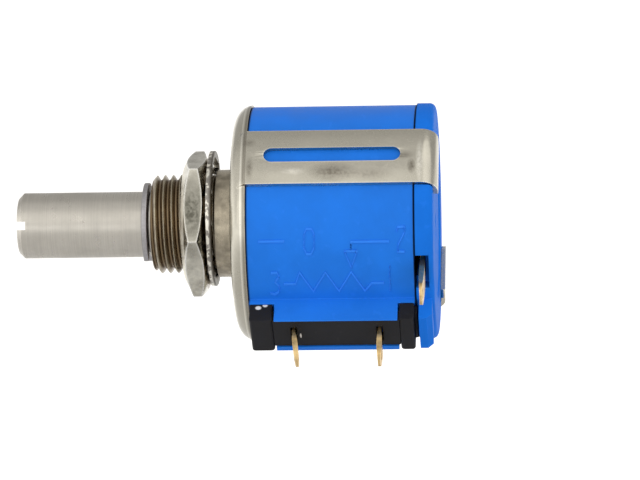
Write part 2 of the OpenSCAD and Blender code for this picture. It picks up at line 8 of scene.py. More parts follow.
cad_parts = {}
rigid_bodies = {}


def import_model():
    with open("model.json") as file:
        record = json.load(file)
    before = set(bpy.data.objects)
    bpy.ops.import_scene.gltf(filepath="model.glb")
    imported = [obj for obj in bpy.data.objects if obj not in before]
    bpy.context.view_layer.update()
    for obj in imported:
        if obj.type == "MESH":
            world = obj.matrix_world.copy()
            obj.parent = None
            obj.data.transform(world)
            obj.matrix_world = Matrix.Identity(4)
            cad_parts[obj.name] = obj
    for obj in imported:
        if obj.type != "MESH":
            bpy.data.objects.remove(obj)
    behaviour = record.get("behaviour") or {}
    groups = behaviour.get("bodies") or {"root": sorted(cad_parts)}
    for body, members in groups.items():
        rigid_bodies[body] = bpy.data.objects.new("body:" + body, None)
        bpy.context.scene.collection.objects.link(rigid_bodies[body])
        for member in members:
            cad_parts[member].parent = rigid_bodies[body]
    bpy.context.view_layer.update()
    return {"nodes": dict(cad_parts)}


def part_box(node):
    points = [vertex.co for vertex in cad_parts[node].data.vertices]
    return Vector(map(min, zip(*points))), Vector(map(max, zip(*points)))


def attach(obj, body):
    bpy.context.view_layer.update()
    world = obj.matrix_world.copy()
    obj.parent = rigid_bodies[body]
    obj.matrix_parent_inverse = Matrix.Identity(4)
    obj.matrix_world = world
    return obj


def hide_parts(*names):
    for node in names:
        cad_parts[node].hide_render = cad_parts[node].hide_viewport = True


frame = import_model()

bl_info = {
    "name": "Rotary potentiometer",
    "version": (1, 0, 0),
    "blender": (4, 5, 0),
    "location": "3D View > Sidebar > Potentiometer",
    "description": "Builds the finished pieces and looks of a ten-turn potentiometer around its packed model",
    "category": "Add Mesh",
}

MM = 0.001
FULL_TURN = 2 * math.pi
# Points nearer than this, in metres, are one.
MERGE = 1e-7

# The camera that took the photograph, in millimetres and degrees of the model's own frame.
CAMERA_PLACE = (34.8, -395.4, 0.0)
CAMERA_YAW = 3.89
CAMERA_PITCH = -0.25
CAMERA_ROLL = -0.73
CAMERA_LENS = 230.4
SENSOR_WIDTH = 36.0

# The stage, in metres, and the room's light.
FLOOR_HEIGHT = -0.045
FLOOR_SIZE = 7.0
# The floor's painted glow: the distance from the object, in metres, within which it is off, the distance
# beyond which it is full, and its strength.
FLOOR_DIM_TO = 0.1
FLOOR_BRIGHT_FROM = 0.28
FLOOR_GLOW = 0.6
KEY_PLACE = (-0.08, -0.62, 0.36)
KEY_SIZE = (0.9, 0.5)
KEY_POWER = 0.5
KEY_COLOUR = (1.0, 0.98, 0.94)
ROOM_COLOUR = (1.0, 0.985, 0.96)
ROOM_LEVEL = 0.52
# The band behind the object: its brightness, and the heights and depths between which it fades.
BAND_LEVEL = 0.65
BAND_HEIGHTS = (0.34, 0.16)
BAND_DEPTHS = (-0.4, 0.2)
# Soft windows: direction, where they start and are full (cosines of the angle off it), and brightness.
ROOM_WINDOWS = (
    ((-0.1, -0.83, 0.56), 0.45, 0.75, 0.22),
    ((-0.66, -0.74, 0.1), 0.84, 0.93, 0.75),
    ((-0.98, 0.0, 0.2), 0.8, 0.93, 0.4),
    ((0.6, -0.35, 0.72), 0.84, 0.94, 0.7),
)

# Each terminal: its direction about the shaft, its inner end and where its face leaves the plastic, measured
# from the axis, and its lean along the shaft from there.
TERMINALS = {
    "terminal_1": (math.radians(-52.8), 9.91, 13.56, math.radians(7)),
    "terminal_3": (math.radians(-52.8), 9.91, 13.38, 0.0),
    "terminal_2": (math.radians(-25.2), 5.2, 9.0, 0.0),
}

# Rear edge of the bracket's skirt, in millimetres along the shaft.
SKIRT_EDGE = 1.6
# Share of its colour that the blue plastic keeps in a gap.
GAP_SHADE = 0.08

# Sockets of a colour mix node, which share their names with its other kinds.
MIX_FACTOR, MIX_FIRST, MIX_SECOND, MIX_RESULT = 0, 6, 7, 2

# Where the flat symbol stands before it is laid on the housing, in millimetres.
SYMBOL_PLANE = -14.0

# Strokes of the moulded circuit symbol on the housing: (along the shaft, height) in millimetres, as seen
# from the camera's side. The zigzag runs between its two leads.
ZIGZAG_START = 6.64
ZIGZAG_STEP = 1.218
ZIGZAG_POINTS = 6
ZIGZAG_HEIGHTS = (-4.71, -6.51)
LEAD_HEIGHT = -5.78
LEFT_LEAD = ((5.1, LEAD_HEIGHT), (6.2, LEAD_HEIGHT))
RIGHT_LEAD = ((13.42, LEAD_HEIGHT), (14.55, LEAD_HEIGHT))
WIPER_LINE = ((15.16, -1.88), (11.56, -1.88), (11.56, -2.75))
WIPER_ARROW = ((11.54, -4.31), (12.12, -2.75), (10.94, -2.75), (11.54, -4.31), (11.8, -3.6))
LEFT_LINE = ((2.85, -1.76), (5.27, -1.76))
ROUND_FIGURE = ((7.37, -0.63), (7.89, -0.64), (8.11, -1.11), (8.08, -2.43), (7.78, -2.99), (7.36, -2.98),
                (7.14, -2.42), (7.17, -1.10), (7.37, -0.63))
FIGURE_ONE = ((15.15, -4.12), (15.12, -6.55))
FIGURE_TWO = ((15.88, -0.95), (15.98, -0.55), (16.64, -0.51), (16.63, -1.03), (16.0, -2.24), (15.94, -2.85),
              (16.6, -2.86))
FIGURE_THREE = ((3.93, -4.74), (4.5, -4.7), (4.67, -5.08), (4.26, -5.6), (4.67, -5.99), (4.58, -6.51),
                (4.19, -6.75), (3.77, -6.65))


def length_value(name, default, description):
    """A size in metres that the sidebar shows as a distance."""
    return FloatProperty(name=name, description=description, default=default * MM, min=0.0,
                         unit="LENGTH", subtype="DISTANCE", precision=5)


def colour_value(name, default, description):
    """A colour that the sidebar shows as a swatch."""
    return FloatVectorProperty(name=name, description=description, default=default, size=3,
                               min=0.0, max=1.0, subtype="COLOR")


def share_value(name, default, description):
    """A share between 0 and 1."""
    return FloatProperty(name=name, description=description, default=default, min=0.0, max=1.0,
                         subtype="FACTOR")


def angle_value(name, default, description):
    """An angle in degrees that the sidebar shows as one."""
    return FloatProperty(name=name, description=description, default=math.radians(default),
                         subtype="ANGLE", unit="ROTATION")


class PotSizes(bpy.types.PropertyGroup):
    """Sizes of the finished pieces."""
    shaft_radius: length_value("Shaft radius", 3.175, "Radius of the quarter-inch shaft")
    tip_chamfer: length_value("Tip chamfer", 0.5, "Chamfer at the shaft's tip")
    slot_width: length_value("Slot width", 0.8, "Width of the screwdriver slot")
    slot_depth: length_value("Slot depth", 0.9, "Depth of the screwdriver slot")
    groove_radius: length_value("Groove radius", 2.825, "Radius of the shaft in the ring's groove")
    journal_radius: length_value("Journal radius", 1.6, "Radius of the shaft's rear journal")
    journal_length: length_value("Journal length", 1.7, "Length of the rear journal")
    thread_pitch: length_value("Thread pitch", 0.794, "Pitch of the bushing's thread, 32 to the inch")
    thread_depth: length_value("Thread depth", 0.47, "Depth of the bushing's thread")
    thread_radius: length_value("Thread radius", 4.7625, "Outer radius of the bushing's thread")
    thread_chamfer: length_value("Thread chamfer", 0.41, "Chamfer at the front end of the thread")
    shoulder_radius: length_value("Shoulder radius", 5.2, "Radius of the bushing's plain shoulder")
    shoulder_length: length_value("Shoulder length", 1.9, "Length of the shoulder ahead of the plate")
    flange_thickness: length_value("Flange thickness", 1.0, "Thickness of the flange behind the plate")
    bushing_bore: length_value("Bushing bore", 3.215, "Radius of the bushing's bore")
    nut_width: length_value("Nut width", 12.7, "Width of the nut across its flats")
    nut_front_face: length_value("Nut front face", 5.5, "Radius where the nut's front chamfer starts")
    nut_rear_face: length_value("Nut rear face", 5.8, "Radius where the nut's rear chamfer starts")
    nut_slope: angle_value("Nut slope", 25, "Slope of the nut's chamfers")
    nut_bore: length_value("Nut bore", 4.8125, "Radius of the nut's bore")
    nut_corner: angle_value("Nut corner", 46, "Angle of one corner of the nut above the front")
    washer_radius: length_value("Washer radius", 6.55, "Outer radius of the lock washer")
    washer_rim: length_value("Washer rim", 0.75, "Width of the lock washer's rim")
    washer_thickness: length_value("Washer thickness", 0.5, "Thickness of the lock washer")
    washer_teeth_radius: length_value("Teeth radius", 5.32, "Radius of the circle that the teeth reach in to")
    washer_tooth_width: length_value("Tooth width", 1.4, "Width of one tooth")
    washer_teeth: IntProperty(name="Washer teeth", description="Number of inner teeth", default=12, min=6)
    washer_twist: angle_value("Tooth twist", 8.5, "Twist of each tooth out of the washer's plane")
    terminal_thickness: length_value("Terminal thickness", 0.5, "Thickness of the terminals' sheet")
    terminal_width: length_value("Terminal width", 2.2, "Width of the terminals")
    terminal_reach: length_value("Terminal reach", 16.9, "Distance of the terminals' tips from the axis")
    terminal_hole: length_value("Terminal hole", 1.1, "Diameter of the wire holes")
    terminal_thinning: length_value("Terminal thinning", 0.14, "Sheet lost on each face at a terminal's ends")
    terminal_bulge: share_value("Terminal bulge", 0.5, "Where a terminal is thickest, from its tip")
    symbol_width: length_value("Symbol width", 0.2, "Width of the moulded symbol's strokes")
    symbol_height: length_value("Symbol height", 0.08, "Height of the moulded symbol above the housing")
    leg_round: length_value("Leg rounding", 0.3, "Rounding of the terminal strip's legs")
    recess_radius: length_value("Lid recess radius", 7.4, "Radius of the recess in the lid's rear face")
    recess_depth: length_value("Lid recess depth", 0.18, "Depth of the lid's recess")
    gate_radius: length_value("Gate mark radius", 0.6, "Radius of the gate mark in the recess")
    gate_depth: length_value("Gate mark depth", 0.12, "Depth of the gate mark below the recess")
    edge_round: length_value("Edge round", 0.06, "Rounding of the pieces' edges")


class PotColours(bpy.types.PropertyGroup):
    """Colours of the finishes."""
    steel: colour_value("Steel", (0.575, 0.548, 0.495), "Stainless steel of the shaft")
    ring: colour_value("Ring", (0.42, 0.41, 0.42), "Spring steel of the retaining ring")
    brass: colour_value("Bushing", (0.44, 0.39, 0.30), "Nickel-plated brass of the bushing")
    nut: colour_value("Nut", (0.59, 0.57, 0.495), "Nickel plating of the nut")
    washer: colour_value("Washer", (0.36, 0.34, 0.31), "Steel of the lock washer")
    bracket: colour_value("Bracket", (0.54, 0.515, 0.44), "Nickel plating of the clamp bracket")
    # Brown for the bushing thread's roots, and also the painted shade on the nut's rear.
    grime: colour_value("Grime", (0.17, 0.115, 0.06), "Brown grime in the thread")
    # Painted darker reflection on the nut's flat that faces the camera.
    painted_dark_reflection: colour_value("Painted dark reflection", (0.13, 0.125, 0.10), "Painted dark reflection on one flat of the nut")
    # Painted highlights and glints on the nut, the lock washer and the bracket.
    glint: colour_value("Glint", (0.86, 0.83, 0.74), "Painted glints on the grains and edges of the plated steel")
    # Dark stains and smudges, also used for the painted shade on the lock washer's rear half.
    stain_and_shade: colour_value("Stain", (0.16, 0.14, 0.11), "Dark stains and thread grime")
    blue: colour_value("Housing blue", (0.012, 0.185, 0.78), "Blue plastic of the housing")
    lid_blue: colour_value("Lid blue", (0.011, 0.175, 0.76), "Blue plastic of the rear lid")
    black: colour_value("Strip black", (0.014, 0.014, 0.017), "Black plastic of the terminal strip")
    speck: colour_value("Specks", (0.75, 0.75, 0.75), "Pale specks and scratch on the terminal strip")
    gold: colour_value("Gold", (0.80, 0.58, 0.28), "Gold plating of the terminals")
    tarnish: colour_value("Tarnish", (0.20, 0.12, 0.05), "Tarnish on the gold")
    wire: colour_value("Resistance wire", (0.40, 0.28, 0.18), "Wound resistance wire")
    copper: colour_value("Copper", (0.72, 0.35, 0.18), "Tap wires")
    rotor: colour_value("Rotor", (0.68, 0.64, 0.52), "Moulded rotor")
    contact: colour_value("Contact", (0.72, 0.55, 0.26), "Contact springs and tracks")
    slide: colour_value("Thrust washer", (0.72, 0.71, 0.66), "Plastic of the thrust washer")
    floor: colour_value("Floor", (0.93, 0.93, 0.93), "Pale floor")


def sizes():
    return bpy.context.scene.pot_sizes


def colours():
    return bpy.context.scene.pot_colours


# Modelling helpers


def deselect_all():
    bpy.ops.object.select_all(action="DESELECT")


def make_active(piece):
    deselect_all()
    piece.select_set(True)
    bpy.context.view_layer.objects.active = piece


def named(piece, name):
    piece.name = name
    piece.data.name = name
    return piece


def settle(piece):
    """Moves the piece's place, turn and size into its mesh."""
    make_active(piece)
    bpy.ops.object.transform_apply(location=True, rotation=True, scale=True)
    return piece


def turn_about_shaft(piece, angle):
    piece.rotation_euler.x = angle
    return settle(piece)


def merge_points():
    """Joins the points that lie in one place, in edit mode, and leaves all selected."""
    bpy.ops.mesh.select_all(action="SELECT")
    bpy.ops.mesh.remove_doubles(threshold=MERGE)


def traced(name, start, steps):
    """A bare line from start through steps, each (along, radius) in metres. It is left in edit mode."""
    deselect_all()
    bpy.ops.mesh.primitive_plane_add(size=MM, location=(0, 0, 0))
    piece = named(bpy.context.object, name)
    bpy.ops.object.mode_set(mode="EDIT")
    bpy.ops.mesh.select_all(action="SELECT")
    bpy.ops.mesh.merge(type="CENTER")
    bpy.ops.transform.translate(value=(start[0], 0, start[1]))
    for along, radius in steps:
        bpy.ops.mesh.extrude_region_move(TRANSFORM_OT_translate={"value": (along, 0, radius)})
    return piece


def turned(name, profile, steps=128, angle=FULL_TURN, closed=True):
    """A piece turned about the shaft's axis from (along, radius) points in metres, as on a lathe.

    A closed profile runs round the section of a ring. An open one starts and ends on the axis."""
    corners = [*profile, profile[0]] if closed else profile
    moves = [(after[0] - before[0], after[1] - before[1]) for before, after in zip(corners, corners[1:])]
    piece = traced(name, profile[0], moves)
    merge_points()
    bpy.ops.mesh.spin(steps=steps, angle=angle, center=(0, 0, 0), axis=(1, 0, 0))
    merge_points()
    if angle < FULL_TURN:
        bpy.ops.mesh.select_all(action="DESELECT")
        bpy.ops.mesh.select_non_manifold()
        bpy.ops.mesh.fill_holes(sides=0)
        bpy.ops.mesh.select_all(action="SELECT")
    bpy.ops.mesh.normals_make_consistent(inside=False)
    bpy.ops.object.mode_set(mode="OBJECT")
    return piece


def rounded(profile, radius, closed=True, steps=3):
    """The same profile with each corner that is off the axis rounded by an arc."""
    points = [Vector(p) for p in profile]
    count = len(points)
    out = []
    for i, corner in enumerate(points):
        before, after = points[i - 1], points[(i + 1) % count]
        if (not closed and i in (0, count - 1)) or corner.y < MERGE:
            out.append(tuple(corner))
            continue
        to_before, to_after = before - corner, after - corner
        bend = to_before.angle(to_after)
        reach = min(radius / math.tan(bend / 2), 0.45 * to_before.length, 0.45 * to_after.length)
        start = corner + to_before.normalized() * reach
        end = corner + to_after.normalized() * reach
        for k in range(steps + 1):
            t = k / steps
            point = start * (1 - t) ** 2 + corner * 2 * t * (1 - t) + end * t ** 2
            out.append(tuple(point))
    return out


def apply_modifier(piece, kind, **values):
    """Adds one modifier, sets its values and applies it."""
    make_active(piece)
    bpy.ops.object.modifier_add(type=kind)
    modifier = piece.modifiers[-1]
    for key, value in values.items():
        setattr(modifier, key, value)
    bpy.ops.object.modifier_apply(modifier=modifier.name)
    return piece


def cut_with(piece, tool, operation="DIFFERENCE"):
    """Cuts the piece with a tool, or keeps what they share, and throws the tool away."""
    apply_modifier(piece, "BOOLEAN", object=tool, operation=operation, solver="EXACT")
    bpy.data.objects.remove(tool)
    return piece


def box_tool(low, high):
    """A box between two corners, for cutting."""
    deselect_all()
    low, high = Vector(low), Vector(high)
    bpy.ops.mesh.primitive_cube_add(size=1, location=(low + high) / 2, scale=high - low)
    return settle(bpy.context.object)


def soften(piece, width, angle=math.radians(30), segments=2, clamp=True):
    """Rounds the sharp edges and shades the faces between them evenly."""
    apply_modifier(piece, "BEVEL", width=width, segments=segments, limit_method="ANGLE",
                   angle_limit=angle, use_clamp_overlap=clamp)
    return shade(piece)


def shade(piece, angle=math.radians(35)):
    make_active(piece)
    bpy.ops.object.shade_smooth_by_angle(angle=angle)
    apply_modifier(piece, "WEIGHTED_NORMAL", keep_sharp=True)
    return piece


def copy_of(node, name):
    """A copy of a node's own form, with its loose triangles joined and its flat faces made whole."""
    make_active(frame["nodes"][node])
    bpy.ops.object.duplicate()
    piece = named(bpy.context.object, name)
    bpy.ops.object.parent_clear(type="CLEAR_KEEP_TRANSFORM")
    for key in list(piece.keys()):
        del piece[key]
    bpy.ops.object.mode_set(mode="EDIT")
    merge_points()
    flatness = math.radians(0.3)
    bpy.ops.mesh.dissolve_limited(angle_limit=flatness)
    bpy.ops.object.mode_set(mode="OBJECT")
    piece.data.materials.clear()
    return piece


def finish_piece(piece, material, body, slot, *replaced):
    """Gives a finished piece its material and its body, and hides the nodes it replaces. The slot is not
    used.
    """
    piece.data.materials.clear()
    piece.data.materials.append(material)
    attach(piece, body)
    if replaced:
        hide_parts(*replaced)
    return piece


# Nodes of the materials


def feed(tree, socket, given):
    """Links a socket to another one, or gives it a value."""
    if isinstance(given, bpy.types.NodeSocket):
        tree.links.new(given, socket)
    elif given is not None:
        socket.default_value = given


def maths(tree, kind, first, second=None, clamp=False):
    """The result of a maths node on values or sockets."""
    node = tree.nodes.new("ShaderNodeMath")
    node.operation = kind
    node.use_clamp = clamp
    feed(tree, node.inputs[0], first)
    feed(tree, node.inputs[1], second)
    return node.outputs["Value"]


def vector_maths(tree, kind, first, second=None, result="Value"):
    """The result of a vector maths node on vectors or sockets."""
    node = tree.nodes.new("ShaderNodeVectorMath")
    node.operation = kind
    feed(tree, node.inputs[0], first)
    feed(tree, node.inputs[1], second)
    return node.outputs[result]


def spread(tree, value, low, high, to_low=0.0, to_high=1.0, kind="LINEAR"):
    """A value that runs from to_low to to_high while the given one runs from low to high."""
    node = tree.nodes.new("ShaderNodeMapRange")
    node.interpolation_type = kind
    ends = {"From Min": low, "From Max": high, "To Min": to_low, "To Max": to_high}
    for label, given in ends.items():
        node.inputs[label].default_value = given
    tree.links.new(value, node.inputs["Value"])
    return node.outputs["Result"]


def surface_group():
    """The shared surface effects: grain, long brush lines, smudges, scratches and an edge mask, used for edge
    wear and painted edge highlights.
    """
    name = "pot surface"
    if name in bpy.data.node_groups:
        return bpy.data.node_groups[name]
    group = bpy.data.node_groups.new(name, "ShaderNodeTree")
    new_socket = group.interface.new_socket
    for label, default in (("Grain Scale", 9000.0), ("Brush Along", 12000.0), ("Brush Across", 300.0),
                           ("Smudge Scale", 350.0), ("Scratch Scale", 900.0), ("Edge Radius", 0.00012)):
        socket = new_socket(name=label, in_out="INPUT", socket_type="NodeSocketFloat")
        socket.default_value = default
    for label in ("Grain", "Brush", "Smudge", "Scratches", "Edge"):
        new_socket(name=label, in_out="OUTPUT", socket_type="NodeSocketFloat")
    nodes, links = group.nodes, group.links
    given = nodes.new("NodeGroupInput").outputs
    result = nodes.new("NodeGroupOutput").inputs
    place = nodes.new("ShaderNodeTexCoord").outputs["Object"]

    def noise(scale, detail, vector=place, roughness=0.55):
        node = nodes.new("ShaderNodeTexNoise")
        wanted = {"Vector": vector, "Scale": scale, "Detail": detail, "Roughness": roughness}
        for label, value in wanted.items():
            feed(group, node.inputs[label], value)
        return node.outputs["Fac"]

    links.new(noise(given["Grain Scale"], 3.0), result["Grain"])

    stretch = nodes.new("ShaderNodeCombineXYZ")
    links.new(given["Brush Along"], stretch.inputs["X"])
    links.new(given["Brush Across"], stretch.inputs["Y"])
    links.new(given["Brush Across"], stretch.inputs["Z"])
    scaled = vector_maths(group, "MULTIPLY", place, stretch.outputs["Vector"], result="Vector")
    links.new(noise(1.0, 4.0, scaled, 0.7), result["Brush"])

    links.new(spread(group, noise(given["Smudge Scale"], 5.0), 0.42, 0.68), result["Smudge"])

    scratched = []
    for turn in ((0.2, 0.9, 0.4), (1.1, 0.3, 2.0)):
        mapping = nodes.new("ShaderNodeMapping")
        mapping.inputs["Rotation"].default_value = turn
        mapping.inputs["Scale"].default_value = (1.0, 0.07, 1.0)
        links.new(place, mapping.inputs["Vector"])
        lines = noise(given["Scratch Scale"], 2.0, mapping.outputs["Vector"])
        scratched.append(spread(group, lines, 0.66, 0.72))
    links.new(maths(group, "MAXIMUM", *scratched), result["Scratches"])

    smooth = nodes.new("ShaderNodeBevel")
    smooth.samples = 4
    links.new(given["Edge Radius"], smooth.inputs["Radius"])
    facing = nodes.new("ShaderNodeNewGeometry")
    likeness = vector_maths(group, "DOT_PRODUCT", smooth.outputs["Normal"], facing.outputs["Normal"])
    links.new(spread(group, likeness, 0.995, 0.92), result["Edge"])
    return group


class Finish:
    """One material: a Principled shader whose colour, roughness and relief come from the shared effects."""

    def __init__(self, name, metallic, roughness, **surface):
        self.material = bpy.data.materials.new(name)
        self.material.use_nodes = True
        self.tree = self.material.node_tree
        self.shader = self.tree.nodes["Principled BSDF"]
        self.shader.inputs["Metallic"].default_value = metallic
        self.shader.inputs["Roughness"].default_value = roughness
        self.effects = self.tree.nodes.new("ShaderNodeGroup")
        self.effects.node_tree = surface_group()
        for label, value in surface.items():
            self.effects.inputs[label.replace("_", " ").title()].default_value = value
        self.place = self.tree.nodes.new("ShaderNodeTexCoord").outputs["Object"]

    def out(self, label):
        """One of the shared effects."""
        return self.effects.outputs[label]

    def value(self, kind, first, second=None, clamp=False):
        return maths(self.tree, kind, first, second, clamp)

    def times(self, first, second):
        return maths(self.tree, "MULTIPLY", first, second)

    def spread(self, value, low, high, to_low=0.0, to_high=1.0):
        return spread(self.tree, value, low, high, to_low, to_high)

    def mix(self, mask, first, second):
        """A colour between two colours or sockets."""
        node = self.tree.nodes.new("ShaderNodeMix")
        node.data_type = "RGBA"
        self.tree.links.new(mask, node.inputs[MIX_FACTOR])
        for index, given in ((MIX_FIRST, first), (MIX_SECOND, second)):
            is_socket = isinstance(given, bpy.types.NodeSocket)
            feed(self.tree, node.inputs[index], given if is_socket else (*given, 1.0))
        return node.outputs[MIX_RESULT]

    def along(self, axis):
        """The place on one axis."""
        node = self.tree.nodes.new("ShaderNodeSeparateXYZ")
        self.tree.links.new(self.place, node.inputs["Vector"])
        return node.outputs[axis]

    def from_point(self):
        """The distance from the origin."""
        return vector_maths(self.tree, "LENGTH", self.place)

    def from_axis(self):
        """The distance from the shaft's axis."""
        across = vector_maths(self.tree, "MULTIPLY", self.place, (0.0, 1.0, 1.0), result="Vector")
        return vector_maths(self.tree, "LENGTH", across)

    def patch(self, centre, size):
        """A soft round mask at a place on the piece, in millimetres."""
        mapping = self.tree.nodes.new("ShaderNodeMapping")
        mapping.vector_type = "TEXTURE"
        mapping.inputs["Location"].default_value = Vector(centre) * MM
        mapping.inputs["Scale"].default_value = Vector(size) * MM
        self.tree.links.new(self.place, mapping.inputs["Vector"])
        return self.spread(vector_maths(self.tree, "LENGTH", mapping.outputs["Vector"]), 1.0, 0.2)

    def colour(self, socket):
        self.tree.links.new(socket, self.shader.inputs["Base Color"])

    def tint(self, mask, tone):
        """Lays a colour over the base colour where the mask is."""
        base = self.shader.inputs["Base Color"].links[0].from_socket
        self.colour(self.mix(mask, base, tone))

    def rough(self, socket):
        self.tree.links.new(socket, self.shader.inputs["Roughness"])

    def bump(self, height, distance):
        """Gives the surface its relief, of a depth in millimetres."""
        node = self.tree.nodes.new("ShaderNodeBump")
        node.inputs["Strength"].default_value = 1.0
        node.inputs["Distance"].default_value = distance * MM
        self.tree.links.new(height, node.inputs["Height"])
        self.tree.links.new(node.outputs["Normal"], self.shader.inputs["Normal"])


def dimmed(colour, share):
    return tuple(c * share for c in colour)


def lit(colour, gain, lift=0.0):
    """A paler colour, at most white."""
    return tuple(min(1, c * gain + lift) for c in colour)


def metal(name, colour, roughness, brush=0.0, grain=0.3, wear_and_highlight=1.25, stain_and_shade=None, stain_amount=0.0,
          relief=0.004, contrast=0.12, **surface):
    """Bare or plated metal: brush lines or grain, smudges that dim it, scratches, and brighter edges that are
    part wear and part painted highlight.
    """
    look = Finish(name, 1.0, roughness, **surface)
    amount = brush + grain
    texture = look.value("ADD", look.times(look.out("Brush"), brush), look.times(look.out("Grain"), grain))
    look.colour(look.mix(look.spread(texture, 0.3 * amount, 0.7 * amount),
                         dimmed(colour, 1 - contrast), dimmed(colour, 1 + contrast)))
    look.tint(look.times(look.out("Smudge"), 0.35), dimmed(colour, 0.72))
    if stain_and_shade is not None:
        look.tint(look.times(look.out("Smudge"), stain_amount), stain_and_shade)
    # Brighter edges: part wear and part painted highlight.
    look.tint(look.times(look.out("Edge"), 0.7), lit(colour, wear_and_highlight))
    uneven = look.value("ADD", look.spread(texture, 0.0, amount, roughness - 0.08, roughness + 0.1),
                        look.times(look.out("Smudge"), 0.12))
    look.rough(look.value("SUBTRACT", uneven, look.times(look.out("Scratches"), 0.1), clamp=True))
    look.bump(look.value("SUBTRACT", texture, look.times(look.out("Scratches"), 0.6)), relief)
    return look


def plastic(name, colour, roughness, relief=0.004, wear_and_highlight=1.25, gloss=0.3, **surface):
    """Moulded plastic with a fine grain, a soft unevenness, faint scuffs, and paler edges that are part wear
    and part painted highlight.
    """
    look = Finish(name, 0.0, roughness, **surface)
    look.shader.inputs["Specular IOR Level"].default_value = gloss
    look.shader.inputs["IOR"].default_value = 1.3
    look.colour(look.mix(look.out("Smudge"), dimmed(colour, 0.95), lit(colour, 1.06)))
    look.tint(look.times(look.out("Scratches"), 0.15), lit(colour, 1.3, 0.02))
    # Paler edges: part wear and part painted highlight.
    look.tint(look.times(look.out("Edge"), 0.5), lit(colour, wear_and_highlight, 0.01))
    uneven = look.spread(look.out("Smudge"), 0.0, 1.0, roughness - 0.05, roughness + 0.07)
    look.rough(look.value("ADD", uneven, look.times(look.out("Grain"), 0.06)))
    look.bump(look.out("Grain"), relief)
    return look


# Finishes of the pieces


def shaft_finish():
    return metal("shaft steel", colours().steel, 0.28, brush=1.0, grain=0.15, relief=0.006,
                 Brush_Along=9000.0, Brush_Across=60.0, Grain_Scale=6000.0).material


def ring_finish():
    return metal("ring steel", colours().ring, 0.4, grain=0.6, relief=0.006, Grain_Scale=5000.0).material


def bushing_finish():
    """Worn plating on the shoulder and the thread's crests, with brown grime in the thread's roots."""
    look = metal("bushing plating", colours().brass, 0.26, brush=0.5, grain=0.4, relief=0.008,
                 stain_and_shade=colours().stain_and_shade, stain_amount=0.6, Brush_Along=7000.0, Brush_Across=200.0,
                 Smudge_Scale=900.0)
    sunk = look.spread(look.from_axis(), 4.72 * MM, 4.45 * MM)
    on_thread = look.spread(look.along("X"), -1.85 * MM, -1.95 * MM)
    look.tint(look.times(look.times(sunk, on_thread), 0.9), colours().grime)
    return look.material


def nut_finish():
    """Scratched plating with painted highlights on the front chamfer and along the edges of the flat that
    faces the camera, a painted darker reflection on that flat, and painted shade on the rear where the light
    doesn't reach.
    """
    look = metal("nut plating", colours().nut, 0.17, grain=0.5, wear_and_highlight=2.1, stain_and_shade=colours().stain_and_shade,
                 stain_amount=0.3, Grain_Scale=2600.0, Scratch_Scale=1400.0, Smudge_Scale=700.0,
                 Edge_Radius=0.0003)
    low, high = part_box("hex_nut")
    # Painted darker reflection on the flat that faces the camera, mottled, and kept off that flat's edges.
    flat = look.patch((-3.9, -6.2, 1.2), (2.6, 1.7, 5.6))
    mottled = look.spread(look.out("Grain"), 0.38, 0.62, 0.6, 1.0)
    inside = look.spread(look.out("Edge"), 0.0, 0.5, 1.0, 0.0)
    look.tint(look.times(look.times(flat, mottled), inside), colours().painted_dark_reflection)
    # Painted highlight lines along that flat's edges.
    look.tint(look.times(flat, look.out("Edge")), colours().glint)
    # Painted shade on the rear corners, in the brown of the bushing thread's roots.
    dark = look.spread(look.along("X"), high.x - 0.75 * MM, high.x - 0.45 * MM, 0.0, 0.75)
    outer = look.spread(look.from_axis(), 6.34 * MM, 6.3 * MM)
    look.tint(look.times(dark, outer), colours().grime)
    # Painted highlight on the front chamfer, which is also made a little rougher.
    painted_highlight = look.times(look.spread(look.along("X"), low.x + 0.42 * MM, low.x + 0.3 * MM),
                        look.spread(look.from_axis(), 5.2 * MM, 5.5 * MM))
    look.tint(painted_highlight, colours().glint)
    rough = look.shader.inputs["Roughness"].links[0].from_socket
    look.rough(look.value("ADD", rough, look.times(painted_highlight, 0.25)))
    return look.material


def washer_finish():
    """Rough sheared steel: painted glints on the grains at the front of the rim, and painted shade on its
    rear half.
    """
    look = metal("washer steel", colours().washer, 0.3, grain=1.0, wear_and_highlight=2.0, relief=0.03,
                 stain_and_shade=colours().stain_and_shade, stain_amount=0.6, Grain_Scale=1900.0, Smudge_Scale=1500.0)
    low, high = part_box("lock_washer")
    middle = (low.x + high.x) / 2
    front = look.spread(look.along("X"), middle + 0.12 * MM, middle)
    # Painted shade on the rear half of the rim.
    dark = look.spread(look.along("X"), middle, middle + 0.2 * MM, 0.0, 0.8)
    # Painted glints on grains at the front of the rim.
    sparkle = look.times(look.spread(look.out("Grain"), 0.49, 0.55), front)
    look.tint(dark, dimmed(colours().stain_and_shade, 0.5))
    look.tint(sparkle, colours().glint)
    return look.material


